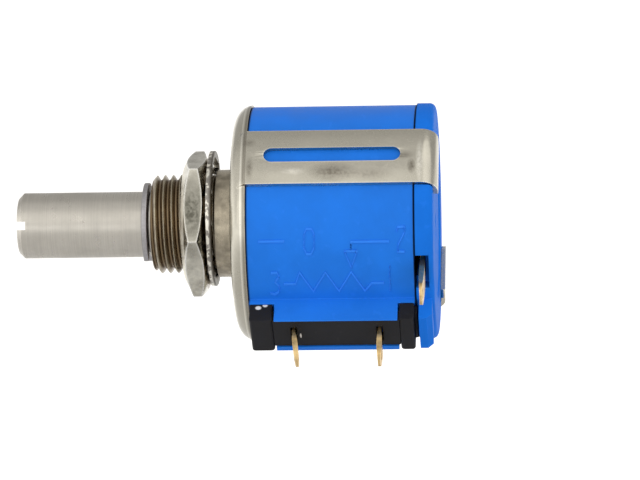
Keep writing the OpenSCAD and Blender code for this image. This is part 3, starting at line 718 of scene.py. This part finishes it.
def bracket_finish():
    """Plated sheet with stains at the strap's root and smudges, and painted highlights at the bend, on the
    strap and along the skirt's edge, where the photograph shows them.
    """
    look = metal("bracket plating", colours().bracket, 0.19, grain=0.12, wear_and_highlight=1.7, relief=0.0005,
                 contrast=0.03, Grain_Scale=4000.0, Smudge_Scale=260.0, Scratch_Scale=700.0,
                 Edge_Radius=0.00022)
    # Centre and size in millimetres, and depth of each place.
    stains = (((1.9, -9.3, 7.6), (0.8, 1.6, 0.5), 0.6), ((2.0, -10.1, 5.0), (0.45, 1.6, 1.4), 0.75),
              ((9.9, -10.6, 4.75), (2.6, 1.0, 1.1), 0.85), ((13.3, -10.7, 4.5), (2.6, 0.8, 0.7), 0.45),
              ((17.3, -10.4, 5.2), (0.45, 0.8, 0.9), 0.95), ((16.6, -9.9, 6.3), (1.1, 0.8, 0.5), 0.5))
    # Painted highlights: the bend's highlight, a bright band along the strap's lower edge and a lighter spot
    # on the strap.
    painted_highlight = (((18.05, -10.1, 5.9), (0.4, 2.0, 2.8), 0.9), ((10.0, -10.9, 3.5), (9.5, 0.8, 0.35), 0.6),
              ((6.1, -10.5, 4.85), (1.3, 0.8, 0.4), 0.6))
    broken = look.spread(look.out("Grain"), 0.4, 0.6, 0.55, 1.0)
    for places, tone in ((stains, colours().stain_and_shade), (painted_highlight, colours().glint)):
        for centre, size, depth in places:
            look.tint(look.times(look.times(look.patch(centre, size), broken), depth), tone)
    # A painted highlight line and a darker line along the skirt's edge: start and end in millimetres from it,
    # and depth.
    fade = 0.05
    for start, end, depth, tone in ((-0.55, -0.4, 0.6, colours().glint), (-0.3, 0.0, 0.55, colours().stain_and_shade)):
        begins, ends = SKIRT_EDGE + start, SKIRT_EDGE + end
        after = look.spread(look.along("X"), begins * MM, (begins + fade) * MM)
        before = look.spread(look.along("X"), (ends + fade) * MM, ends * MM, 0.0, depth)
        look.tint(look.times(after, before), tone)
    return look.material


def with_joint(look):
    """Darkens the plastic beside the joint between the housing and its lid: painted shade in the gap."""
    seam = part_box("housing")[1].x
    off_seam = look.value("ABSOLUTE", look.value("SUBTRACT", look.along("X"), seam))
    look.tint(look.spread(off_seam, 0.14 * MM, 0.06 * MM), dimmed(colours().blue, GAP_SHADE))
    return look


def blue_finish():
    """The housing's plastic, with painted shade in the gap beside the bracket's skirt."""
    look = with_joint(plastic("blue plastic", colours().blue, 0.4, Grain_Scale=6000.0, Smudge_Scale=220.0))
    # Painted shade in the gap beside the bracket's skirt.
    gap = look.spread(look.along("X"), (SKIRT_EDGE + 0.22) * MM, (SKIRT_EDGE + 0.1) * MM, 0.0, 0.85)
    look.tint(gap, dimmed(colours().blue, GAP_SHADE))
    return look.material


def symbol_finish():
    """The housing's plastic, paler on the moulded strokes: a painted highlight on their ridges."""
    highlit_blue = lit(colours().blue, 1.13, 0.013)
    return plastic("symbol plastic", highlit_blue, 0.36, relief=0.003, Grain_Scale=6000.0).material


def lid_finish():
    return with_joint(plastic("lid plastic", colours().lid_blue, 0.5, relief=0.005, gloss=0.06,
                              Grain_Scale=5500.0, Smudge_Scale=260.0)).material


def black_finish():
    """Black plastic with the two pale specks and the small curved scratch of the photograph."""
    look = plastic("black plastic", colours().black, 0.46, relief=0.006, wear_and_highlight=2.2, Grain_Scale=4500.0)
    # Centre and size of each mark, in millimetres.
    for centre, size in (((2.6, -9.15, -8.05), (0.4, 0.5, 0.26)), ((3.24, -8.95, -7.82), (0.34, 0.5, 0.26)),
                         ((6.52, -8.0, -10.75), (0.12, 0.6, 0.4))):
        look.tint(look.spread(look.patch(centre, size), 0.2, 0.6), colours().speck)
    return look.material


def gold_finish():
    return metal("gold plating", colours().gold, 0.3, grain=0.5, wear_and_highlight=1.2, relief=0.006,
                 stain_and_shade=colours().tarnish, stain_amount=0.5, Grain_Scale=4000.0, Smudge_Scale=900.0).material


def inner_finishes():
    """Finishes of the pieces that the housing hides."""
    chosen = colours()
    looks = {
        "resistance_element": metal("resistance winding", chosen.wire, 0.4, brush=1.0, grain=0.1, relief=0.02,
                                    Brush_Along=2500.0, Brush_Across=2500.0),
        "start_lead": metal("start wire", chosen.copper, 0.3, grain=0.4),
        "end_lead": metal("end wire", chosen.copper, 0.3, grain=0.4),
        "rotor_drum": plastic("rotor plastic", chosen.rotor, 0.5),
        "collector_bar": metal("collector bar", chosen.contact, 0.25, brush=0.6, grain=0.2),
        "collector_ring": metal("collector ring", chosen.contact, 0.25, brush=0.6, grain=0.2),
        "thrust_washer": plastic("thrust washer plastic", chosen.slide, 0.5),
        "wiper_carriage": plastic("carriage plastic", chosen.rotor, 0.45),
        "wiper_contact": metal("wiper contact", chosen.contact, 0.25),
        "pickup_contact": metal("pickup contact", chosen.contact, 0.25),
        "ring_brush": metal("ring brush", chosen.contact, 0.28),
    }
    return {node: look.material for node, look in looks.items()}


# Operators, one for each piece or group of like pieces


class POT_OT_stage(bpy.types.Operator):
    """Lay the pale floor, hang the soft lights and place the camera"""
    bl_idname = "pot.stage"
    bl_label = "Stage, lights and camera"

    def execute(self, context):
        self.place_camera(context)
        self.lay_floor()
        self.hang_lights()
        self.light_room(context)
        return {"FINISHED"}

    def place_camera(self, context):
        yaw, pitch, roll = (math.radians(a) for a in (CAMERA_YAW, CAMERA_PITCH, CAMERA_ROLL))
        forward = Vector((-math.sin(yaw) * math.cos(pitch), math.cos(yaw) * math.cos(pitch), math.sin(pitch)))
        level = Vector((math.cos(yaw), math.sin(yaw), 0))
        above = level.cross(forward)
        right = math.cos(roll) * level + math.sin(roll) * above
        up = -math.sin(roll) * level + math.cos(roll) * above
        data = bpy.data.cameras.new("photo camera")
        data.lens = CAMERA_LENS
        data.sensor_width = SENSOR_WIDTH
        data.clip_start = 0.01
        camera = bpy.data.objects.new("photo camera", data)
        context.scene.collection.objects.link(camera)
        turn = Matrix((right, up, -forward)).transposed().to_4x4()
        camera.matrix_world = Matrix.Translation(Vector(CAMERA_PLACE) * MM) @ turn
        context.scene.camera = camera

    def lay_floor(self):
        """A wide plain floor under the object, with a painted glow that grows with the distance from the
        object, so that the far floor reads as a bright backdrop.
        """
        deselect_all()
        bpy.ops.mesh.primitive_plane_add(size=1, location=(0, 0, FLOOR_HEIGHT))
        floor = named(bpy.context.object, "floor")
        floor.scale = (FLOOR_SIZE, FLOOR_SIZE, 1)
        settle(floor)
        look = Finish("floor", 0.0, 0.8, Grain_Scale=900.0, Smudge_Scale=20.0)
        pale = colours().floor
        look.colour(look.mix(look.out("Smudge"), dimmed(pale, 0.99), pale))
        look.rough(look.spread(look.out("Grain"), 0.0, 1.0, 0.75, 0.9))
        glow = look.spread(look.from_point(), FLOOR_DIM_TO, FLOOR_BRIGHT_FROM)
        emission = look.mix(glow, (0, 0, 0), (FLOOR_GLOW,) * 3)
        look.tree.links.new(emission, look.shader.inputs["Emission Color"])
        look.shader.inputs["Emission Strength"].default_value = 1.0
        floor.data.materials.append(look.material)

    def hang_lights(self):
        """One soft key above the camera and to its left."""
        data = bpy.data.lights.new("key softbox", "AREA")
        data.shape = "RECTANGLE"
        data.size, data.size_y = KEY_SIZE
        data.energy = KEY_POWER
        data.color = KEY_COLOUR
        light = bpy.data.objects.new("key softbox", data)
        bpy.context.scene.collection.objects.link(light)
        light.location = KEY_PLACE
        light.rotation_euler = (-Vector(KEY_PLACE)).to_track_quat("-Z", "Y").to_euler()

    def light_room(self, context):
        """A room with a bright band behind the object and soft windows around the camera."""
        world = bpy.data.worlds.new("studio")
        context.scene.world = world
        world.use_nodes = True
        tree = world.node_tree
        direction = tree.nodes.new("ShaderNodeTexCoord").outputs["Generated"]
        split = tree.nodes.new("ShaderNodeSeparateXYZ")
        tree.links.new(direction, split.inputs["Vector"])
        height = maths(tree, "ABSOLUTE", split.outputs["Z"])
        level = spread(tree, height, *BAND_HEIGHTS, kind="SMOOTHSTEP")
        behind = spread(tree, split.outputs["Y"], *BAND_DEPTHS, to_high=BAND_LEVEL, kind="SMOOTHSTEP")
        total = maths(tree, "ADD", maths(tree, "MULTIPLY", level, behind), ROOM_LEVEL)
        for towards, low, high, gain in ROOM_WINDOWS:
            facing = vector_maths(tree, "DOT_PRODUCT", direction, Vector(towards).normalized())
            window = spread(tree, facing, low, high, to_high=gain, kind="SMOOTHSTEP")
            total = maths(tree, "ADD", total, window)
        background = tree.nodes["Background"]
        tree.links.new(total, background.inputs["Strength"])
        background.inputs["Color"].default_value = (*ROOM_COLOUR, 1.0)
        context.scene.view_settings.view_transform = "Standard"


class POT_OT_shaft(bpy.types.Operator):
    """Turn the shaft with its chamfer, ring groove and rear journal, and cut the screwdriver slot"""
    bl_idname = "pot.shaft"
    bl_label = "Shaft"

    def execute(self, context):
        s = sizes()
        low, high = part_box("shaft")
        ring_low, ring_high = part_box("retaining_ring")
        play = 0.05 * MM
        journal_start = high.x - s.journal_length
        profile = [
            (low.x, 0),
            (low.x, s.shaft_radius - s.tip_chamfer),
            (low.x + s.tip_chamfer, s.shaft_radius),
            (ring_low.x - play, s.shaft_radius),
            (ring_low.x - play, s.groove_radius),
            (ring_high.x + play, s.groove_radius),
            (ring_high.x + play, s.shaft_radius),
            (journal_start, s.shaft_radius),
            (journal_start, s.journal_radius),
            (high.x, s.journal_radius),
            (high.x, 0),
        ]
        section = rounded(profile, radius=0.1 * MM, closed=False)
        piece = turned("shaft_finish", section, steps=160, closed=False)
        reach, half = 2 * s.shaft_radius, s.slot_width / 2
        cut_with(piece, box_tool((low.x - MM, -reach, -half), (low.x + s.slot_depth, reach, half)))
        soften(piece, width=0.04 * MM, angle=math.radians(50))
        finish_piece(piece, shaft_finish(), "rotor", "shaft_steel", "shaft")
        return {"FINISHED"}


class POT_OT_retaining_ring(bpy.types.Operator):
    """Turn the open retaining ring in the shaft's groove"""
    bl_idname = "pot.retaining_ring"
    bl_label = "Retaining ring"

    def execute(self, context):
        low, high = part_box("retaining_ring")
        outer = high.z
        play = 0.04 * MM
        inner = sizes().groove_radius + play
        opening = math.radians(55)
        profile = [(low.x, inner), (low.x, outer), (high.x, outer), (high.x, inner)]
        piece = turned("retaining_ring_finish", rounded(profile, radius=0.09 * MM), angle=FULL_TURN - opening)
        turn_about_shaft(piece, math.pi - opening / 2)
        shade(piece)
        finish_piece(piece, ring_finish(), "rotor", "ring_steel", "retaining_ring")
        return {"FINISHED"}


class POT_OT_bushing(bpy.types.Operator):
    """Cut the bushing's thread, chamfer its end and turn its shoulder and flange"""
    bl_idname = "pot.bushing"
    bl_label = "Bushing"

    def execute(self, context):
        s = sizes()
        low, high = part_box("bushing")
        shoulder_x = -s.shoulder_length
        rod_end = shoulder_x + 0.3 * MM
        thread_end = shoulder_x + 0.2 * MM
        lead_in = 0.25 * MM
        clear = 0.1 * MM
        thread = self.threaded_rod(low.x - s.thread_pitch, rod_end)
        sleeve = turned("thread sleeve", [
            (low.x, s.bushing_bore + lead_in),
            (low.x, s.thread_radius - s.thread_chamfer),
            (low.x + s.thread_chamfer, s.thread_radius),
            (low.x + s.thread_chamfer + clear, s.thread_radius + MM),
            (thread_end, s.thread_radius + MM),
            (thread_end, s.bushing_bore),
            (low.x + lead_in, s.bushing_bore),
        ])
        cut_with(thread, sleeve, "INTERSECT")
        flange_x = 0.4 * MM
        body = turned("bushing body", rounded([
            (shoulder_x, s.bushing_bore),
            (shoulder_x, s.shoulder_radius),
            (flange_x, s.shoulder_radius),
            (flange_x, high.z),
            (flange_x + s.flange_thickness, high.z),
            (flange_x + s.flange_thickness, s.shoulder_radius),
            (high.x, s.shoulder_radius),
            (high.x, s.bushing_bore),
        ], radius=0.08 * MM))
        piece = cut_with(thread, body, "UNION")
        named(piece, "bushing_finish")
        shade(piece, math.radians(28))
        finish_piece(piece, bushing_finish(), "frame", "bushing_brass", "bushing")
        return {"FINISHED"}

    def threaded_rod(self, front, rear):
        """A right-hand thread on a solid rod, cut square at both ends."""
        s = sizes()
        crest, root, pitch = s.thread_radius, s.thread_radius - s.thread_depth, s.thread_pitch
        flank = s.thread_depth * math.tan(math.radians(30))
        flat = 0.1 * MM
        rise = crest - root
        # Each flank rises straight for most of its height, and then eases into the crest.
        straight, eased = 0.85, 0.15
        shoulder = flank * eased + flat / 4
        rod = traced("thread rod", (front - 2 * pitch, root), (
            (flank * straight, rise * straight), (shoulder, rise * eased), (flat / 2, 0),
            (shoulder, -rise * eased), (flank * straight, -rise * straight), (pitch - 2 * flank - flat, 0)))
        bpy.ops.object.mode_set(mode="OBJECT")
        turns = math.ceil((rear - front) / pitch) + 4
        apply_modifier(rod, "SCREW", axis="X", angle=FULL_TURN, screw_offset=pitch, iterations=turns,
                       steps=96, render_steps=96, use_merge_vertices=True, merge_threshold=MERGE)
        bpy.ops.object.mode_set(mode="EDIT")
        merge_points()
        for plane_x, side in ((front, "clear_inner"), (rear, "clear_outer")):
            bpy.ops.mesh.select_all(action="SELECT")
            bpy.ops.mesh.bisect(plane_co=(plane_x, 0, 0), plane_no=(1, 0, 0), use_fill=True, threshold=MERGE,
                                **{side: True})
        bpy.ops.mesh.select_all(action="SELECT")
        bpy.ops.mesh.normals_make_consistent(inside=False)
        bpy.ops.object.mode_set(mode="OBJECT")
        return rod


class POT_OT_nut(bpy.types.Operator):
    """Shape the hexagon nut with its two chamfers and its bore"""
    bl_idname = "pot.nut"
    bl_label = "Panel nut"

    def execute(self, context):
        s = sizes()
        low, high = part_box("hex_nut")
        corner = s.nut_width / 2 / math.cos(math.pi / 6)
        front_drop = (corner - s.nut_front_face) * math.tan(s.nut_slope)
        rear_drop = (corner - s.nut_rear_face) * math.tan(s.nut_slope)
        prism = [(low.x - MM, 0), (low.x - MM, corner), (high.x + MM, corner), (high.x + MM, 0)]
        piece = turned("hex_nut_finish", prism, steps=6, closed=False)
        turn_about_shaft(piece, math.pi / 2 - s.nut_corner)
        lead_in = 0.3 * MM
        blank = turned("nut blank", [
            (low.x + lead_in, s.nut_bore),
            (low.x, s.nut_bore + lead_in),
            (low.x, s.nut_front_face),
            (low.x + front_drop, corner),
            (low.x + front_drop, corner + MM),
            (high.x - rear_drop, corner + MM),
            (high.x - rear_drop, corner),
            (high.x, s.nut_rear_face),
            (high.x, s.nut_bore + lead_in),
            (high.x - lead_in, s.nut_bore),
        ])
        cut_with(piece, blank, "INTERSECT")
        soften(piece, width=0.07 * MM, angle=math.radians(14))
        finish_piece(piece, nut_finish(), "nut", "nut_plating", "hex_nut")
        return {"FINISHED"}


class POT_OT_lock_washer(bpy.types.Operator):
    """Shape the lock washer's rim and its twisted teeth"""
    bl_idname = "pot.lock_washer"
    bl_label = "Lock washer"

    def execute(self, context):
        s = sizes()
        low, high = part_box("lock_washer")
        middle = (low + high) / 2
        half = s.washer_thickness / 2
        inner = s.washer_radius - s.washer_rim
        outer = s.washer_radius
        rim = [(-half, inner), (-half, outer), (half, outer), (half, inner)]
        piece = turned("lock_washer_finish", rounded(rim, radius=0.08 * MM))
        overlap = 0.1 * MM
        for i in range(s.washer_teeth):
            tooth = box_tool((-half, -s.washer_tooth_width / 2, s.washer_teeth_radius),
                             (half, s.washer_tooth_width / 2, inner + overlap))
            tooth.rotation_euler.z = s.washer_twist
            settle(tooth)
            turn_about_shaft(tooth, i * FULL_TURN / s.washer_teeth)
            apply_modifier(tooth, "BEVEL", width=0.05 * MM, segments=2)
            make_active(piece)
            tooth.select_set(True)
            bpy.ops.object.join()
        piece.location = (middle.x, 0, middle.z)
        shade(settle(piece))
        finish_piece(piece, washer_finish(), "washer", "washer_steel", "lock_washer")
        return {"FINISHED"}


class POT_OT_clamp_bracket(bpy.types.Operator):
    """Finish the clamp bracket with the rounded edges of stamped sheet"""
    bl_idname = "pot.clamp_bracket"
    bl_label = "Clamp bracket"

    def execute(self, context):
        piece = copy_of("clamp_bracket", "clamp_bracket_finish")
        soften(piece, sizes().edge_round * 1.3)
        finish_piece(piece, bracket_finish(), "frame", "bracket_nickel", "clamp_bracket")
        return {"FINISHED"}


class POT_OT_housing(bpy.types.Operator):
    """Finish the blue housing and raise the moulded circuit symbol and numerals on it"""
    bl_idname = "pot.housing"
    bl_label = "Housing"

    def execute(self, context):
        piece = copy_of("housing", "housing_finish")
        soften(piece, sizes().edge_round)
        zigzag = [(ZIGZAG_START + i * ZIGZAG_STEP, ZIGZAG_HEIGHTS[i % 2]) for i in range(ZIGZAG_POINTS)]
        strokes = ((*LEFT_LEAD, *zigzag, *RIGHT_LEAD), WIPER_LINE, WIPER_ARROW, LEFT_LINE, ROUND_FIGURE,
                   FIGURE_ONE, FIGURE_TWO, FIGURE_THREE)
        flat = [self.stroke(points) for points in strokes]
        make_active(flat[0])
        for part in flat[1:]:
            part.select_set(True)
        bpy.ops.object.join()
        symbol = named(bpy.context.object, "housing_symbol")
        self.lay_on(symbol, piece)
        finish_piece(piece, blue_finish(), "frame", "blue_plastic", "housing")
        finish_piece(symbol, symbol_finish(), "frame", "blue_plastic")
        return {"FINISHED"}

    def stroke(self, points):
        """A flat ribbon along straight stretches, standing in front of the housing."""
        half = sizes().symbol_width / 2
        data = bpy.data.curves.new("stroke", "CURVE")
        spline = data.splines.new("POLY")
        spline.points.add(len(points) - 1)
        for point, (along, height) in zip(spline.points, points):
            point.co = (along * MM, height * MM, 0, 1)
        curve = bpy.data.objects.new("stroke", data)
        bpy.context.scene.collection.objects.link(curve)
        make_active(curve)
        bpy.ops.object.convert(target="MESH")
        strip = bpy.context.object
        bpy.ops.object.mode_set(mode="EDIT")
        bpy.ops.mesh.select_all(action="SELECT")
        bpy.ops.mesh.extrude_region_move(TRANSFORM_OT_translate={"value": (0, 2 * half, 0)})
        bpy.ops.mesh.select_all(action="SELECT")
        bpy.ops.transform.translate(value=(0, -half, 0))
        bpy.ops.mesh.subdivide(number_cuts=5)
        bpy.ops.object.mode_set(mode="OBJECT")
        strip.rotation_euler.x = math.pi / 2
        strip.location.y = SYMBOL_PLANE * MM
        return settle(strip)

    def lay_on(self, symbol, ground):
        """Lays the flat symbol on the housing's round wall and gives it its height."""
        apply_modifier(symbol, "SHRINKWRAP", target=ground, wrap_method="PROJECT",
                       use_project_x=False, use_project_y=True, use_project_z=False,
                       use_positive_direction=True, use_negative_direction=False, offset=0.0)
        apply_modifier(symbol, "SOLIDIFY", thickness=2 * sizes().symbol_height, offset=0.0)
        make_active(symbol)
        bpy.ops.object.mode_set(mode="EDIT")
        bpy.ops.mesh.select_all(action="SELECT")
        bpy.ops.mesh.normals_make_consistent(inside=False)
        bpy.ops.object.mode_set(mode="OBJECT")
        shade(symbol)


class POT_OT_rear_lid(bpy.types.Operator):
    """Finish the rear lid with the soft edges of a moulding"""
    bl_idname = "pot.rear_lid"
    bl_label = "Rear lid"

    def execute(self, context):
        piece = copy_of("rear_lid", "rear_lid_finish")
        cut_with(piece, self.recess(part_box("rear_lid")[1].x))
        soften(piece, sizes().edge_round)
        finish_piece(piece, lid_finish(), "frame", "lid_plastic", "rear_lid")
        return {"FINISHED"}

    def recess(self, rear):
        """The tool for the shallow round recess in the lid's rear face and the gate mark in its middle."""
        s = sizes()
        floor, clear = rear - s.recess_depth, rear + s.recess_depth
        gate_floor = floor - s.gate_depth
        flare = 0.15 * MM
        profile = [(gate_floor, 0.0), (gate_floor, s.gate_radius), (floor, s.gate_radius + flare),
                   (floor, s.recess_radius), (clear, s.recess_radius + 2 * s.recess_depth), (clear, 0.0)]
        return turned("lid_recess", profile, closed=False)


class POT_OT_terminal_strip(bpy.types.Operator):
    """Finish the black terminal strip with the soft edges of a moulding"""
    bl_idname = "pot.terminal_strip"
    bl_label = "Terminal strip"

    def execute(self, context):
        piece = copy_of("terminal_strip", "terminal_strip_finish")
        self.round_legs(piece)
        soften(piece, sizes().edge_round * 1.5, clamp=False)
        finish_piece(piece, black_finish(), "frame", "black_plastic", "terminal_strip")
        return {"FINISHED"}

    def round_legs(self, piece):
        """Rounds the corners of the two legs, where they reach furthest from the shaft."""
        angle = TERMINALS["terminal_1"][0]
        outward = Vector((0, -math.cos(angle), math.sin(angle)))
        vertices = piece.data.vertices
        furthest = max(v.co.dot(outward) for v in vertices)
        near = 0.02 * MM
        make_active(piece)
        bpy.ops.object.mode_set(mode="EDIT")
        bpy.ops.mesh.select_mode(type="EDGE")
        bpy.ops.mesh.select_all(action="DESELECT")
        bpy.ops.object.mode_set(mode="OBJECT")
        for edge in piece.data.edges:
            start, end = (vertices[i].co for i in edge.vertices)
            across = abs(start.x - end.x) < MERGE
            edge.select = across and min(start.dot(outward), end.dot(outward)) > furthest - near
        bpy.ops.object.mode_set(mode="EDIT")
        bpy.ops.mesh.bevel(offset=sizes().leg_round, segments=4)
        bpy.ops.mesh.select_mode(type="VERT")
        merge_points()
        bpy.ops.mesh.vert_connect_concave()
        bpy.ops.object.mode_set(mode="OBJECT")


class POT_OT_terminals(bpy.types.Operator):
    """Finish the three gold terminals with the rounded edges of stamped and plated sheet"""
    bl_idname = "pot.terminals"
    bl_label = "Terminals"

    def execute(self, context):
        material = gold_finish()
        for node in ("terminal_1", "terminal_2", "terminal_3"):
            piece = self.lug(node)
            soften(piece, width=0.09 * MM, segments=3)
            finish_piece(piece, material, "frame", "gold_plate", node)
        return {"FINISHED"}

    def lug(self, node):
        """A sheet lug with a round tip and a wire hole, thickest in the middle of its visible length."""
        s = sizes()
        angle, root, leaves, lean = TERMINALS[node]
        low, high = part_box(node)
        sheet = s.terminal_thickness
        centre = low.x + sheet / 2
        half = s.terminal_width / 2
        eye = s.terminal_reach - half
        piece = box_tool((-sheet, -half, leaves * MM), (sheet, half, eye))
        cut_with(piece, self.disc(half, 2.2 * sheet, eye), "UNION")
        cut_with(piece, self.disc(s.terminal_hole / 2, 3 * sheet, eye), "DIFFERENCE")
        reach = s.terminal_reach - leaves * MM
        middle = s.terminal_reach - s.terminal_bulge * reach
        longest = max(reach * s.terminal_bulge, reach * (1 - s.terminal_bulge))
        curve = longest ** 2 / (2 * s.terminal_thinning) + s.terminal_thinning / 2
        for side in (-1, 1):
            self.keep_inside(piece, curve, side * (curve - sheet / 2), middle)
        if lean:
            piece.location.z = -leaves * MM
            settle(piece)
            piece.rotation_euler.y = lean
            piece.location.z = leaves * MM
            settle(piece)
        stem = box_tool((-sheet / 2 + s.terminal_thinning, -half, root * MM),
                        (sheet / 2 - s.terminal_thinning, half, leaves * MM + sheet / 3))
        cut_with(piece, stem, "UNION")
        piece.location.x = centre
        settle(piece)
        turn_about_shaft(piece, math.pi / 2 - angle)
        return named(piece, node + "_finish")

    def disc(self, radius, depth, height):
        """A disc whose axis lies along the shaft."""
        deselect_all()
        bpy.ops.mesh.primitive_cylinder_add(vertices=64, radius=radius, depth=depth, location=(0, 0, height),
                                            rotation=(0, math.pi / 2, 0))
        return settle(bpy.context.object)

    def keep_inside(self, piece, radius, along, height):
        """Keeps what lies within a wide cylinder that lies across the lug."""
        deselect_all()
        bpy.ops.mesh.primitive_cylinder_add(vertices=720, radius=radius, depth=10 * MM,
                                            location=(along, 0, height), rotation=(math.pi / 2, 0, 0))
        cut_with(piece, settle(bpy.context.object), "INTERSECT")


class POT_OT_inner_pieces(bpy.types.Operator):
    """Give the pieces inside the housing their finishes"""
    bl_idname = "pot.inner_pieces"
    bl_label = "Inner pieces"

    def execute(self, context):
        for node, material in inner_finishes().items():
            piece = frame["nodes"][node]
            piece.data.materials.clear()
            piece.data.materials.append(material)
        return {"FINISHED"}


class POT_PT_pieces(bpy.types.Panel):
    """The potentiometer's pieces, in the order in which they are made"""
    bl_idname = "POT_PT_pieces"
    bl_label = "Rotary potentiometer"
    bl_space_type = "VIEW_3D"
    bl_region_type = "UI"
    bl_category = "Potentiometer"

    def draw(self, context):
        column = self.layout.column(align=True)
        for operator in OPERATORS:
            column.operator(operator.bl_idname)
        for group, owner in ((PotSizes, context.scene.pot_sizes), (PotColours, context.scene.pot_colours)):
            box = self.layout.box()
            for key in group.__annotations__:
                box.prop(owner, key)


OPERATORS = (POT_OT_stage, POT_OT_shaft, POT_OT_retaining_ring, POT_OT_bushing, POT_OT_nut,
             POT_OT_lock_washer, POT_OT_clamp_bracket, POT_OT_housing, POT_OT_rear_lid,
             POT_OT_terminal_strip, POT_OT_terminals, POT_OT_inner_pieces)
CLASSES = (PotSizes, PotColours, *OPERATORS, POT_PT_pieces)


def register():
    for cls in CLASSES:
        bpy.utils.register_class(cls)
    bpy.types.Scene.pot_sizes = PointerProperty(type=PotSizes)
    bpy.types.Scene.pot_colours = PointerProperty(type=PotColours)


def unregister():
    del bpy.types.Scene.pot_colours
    del bpy.types.Scene.pot_sizes
    for cls in reversed(CLASSES):
        bpy.utils.unregister_class(cls)


def main():
    register()
    bpy.ops.pot.stage()
    bpy.ops.pot.shaft()
    bpy.ops.pot.retaining_ring()
    bpy.ops.pot.bushing()
    bpy.ops.pot.nut()
    bpy.ops.pot.lock_washer()
    bpy.ops.pot.clamp_bracket()
    bpy.ops.pot.housing()
    bpy.ops.pot.rear_lid()
    bpy.ops.pot.terminal_strip()
    bpy.ops.pot.terminals()
    bpy.ops.pot.inner_pieces()


if __name__ == "__main__":
    main()
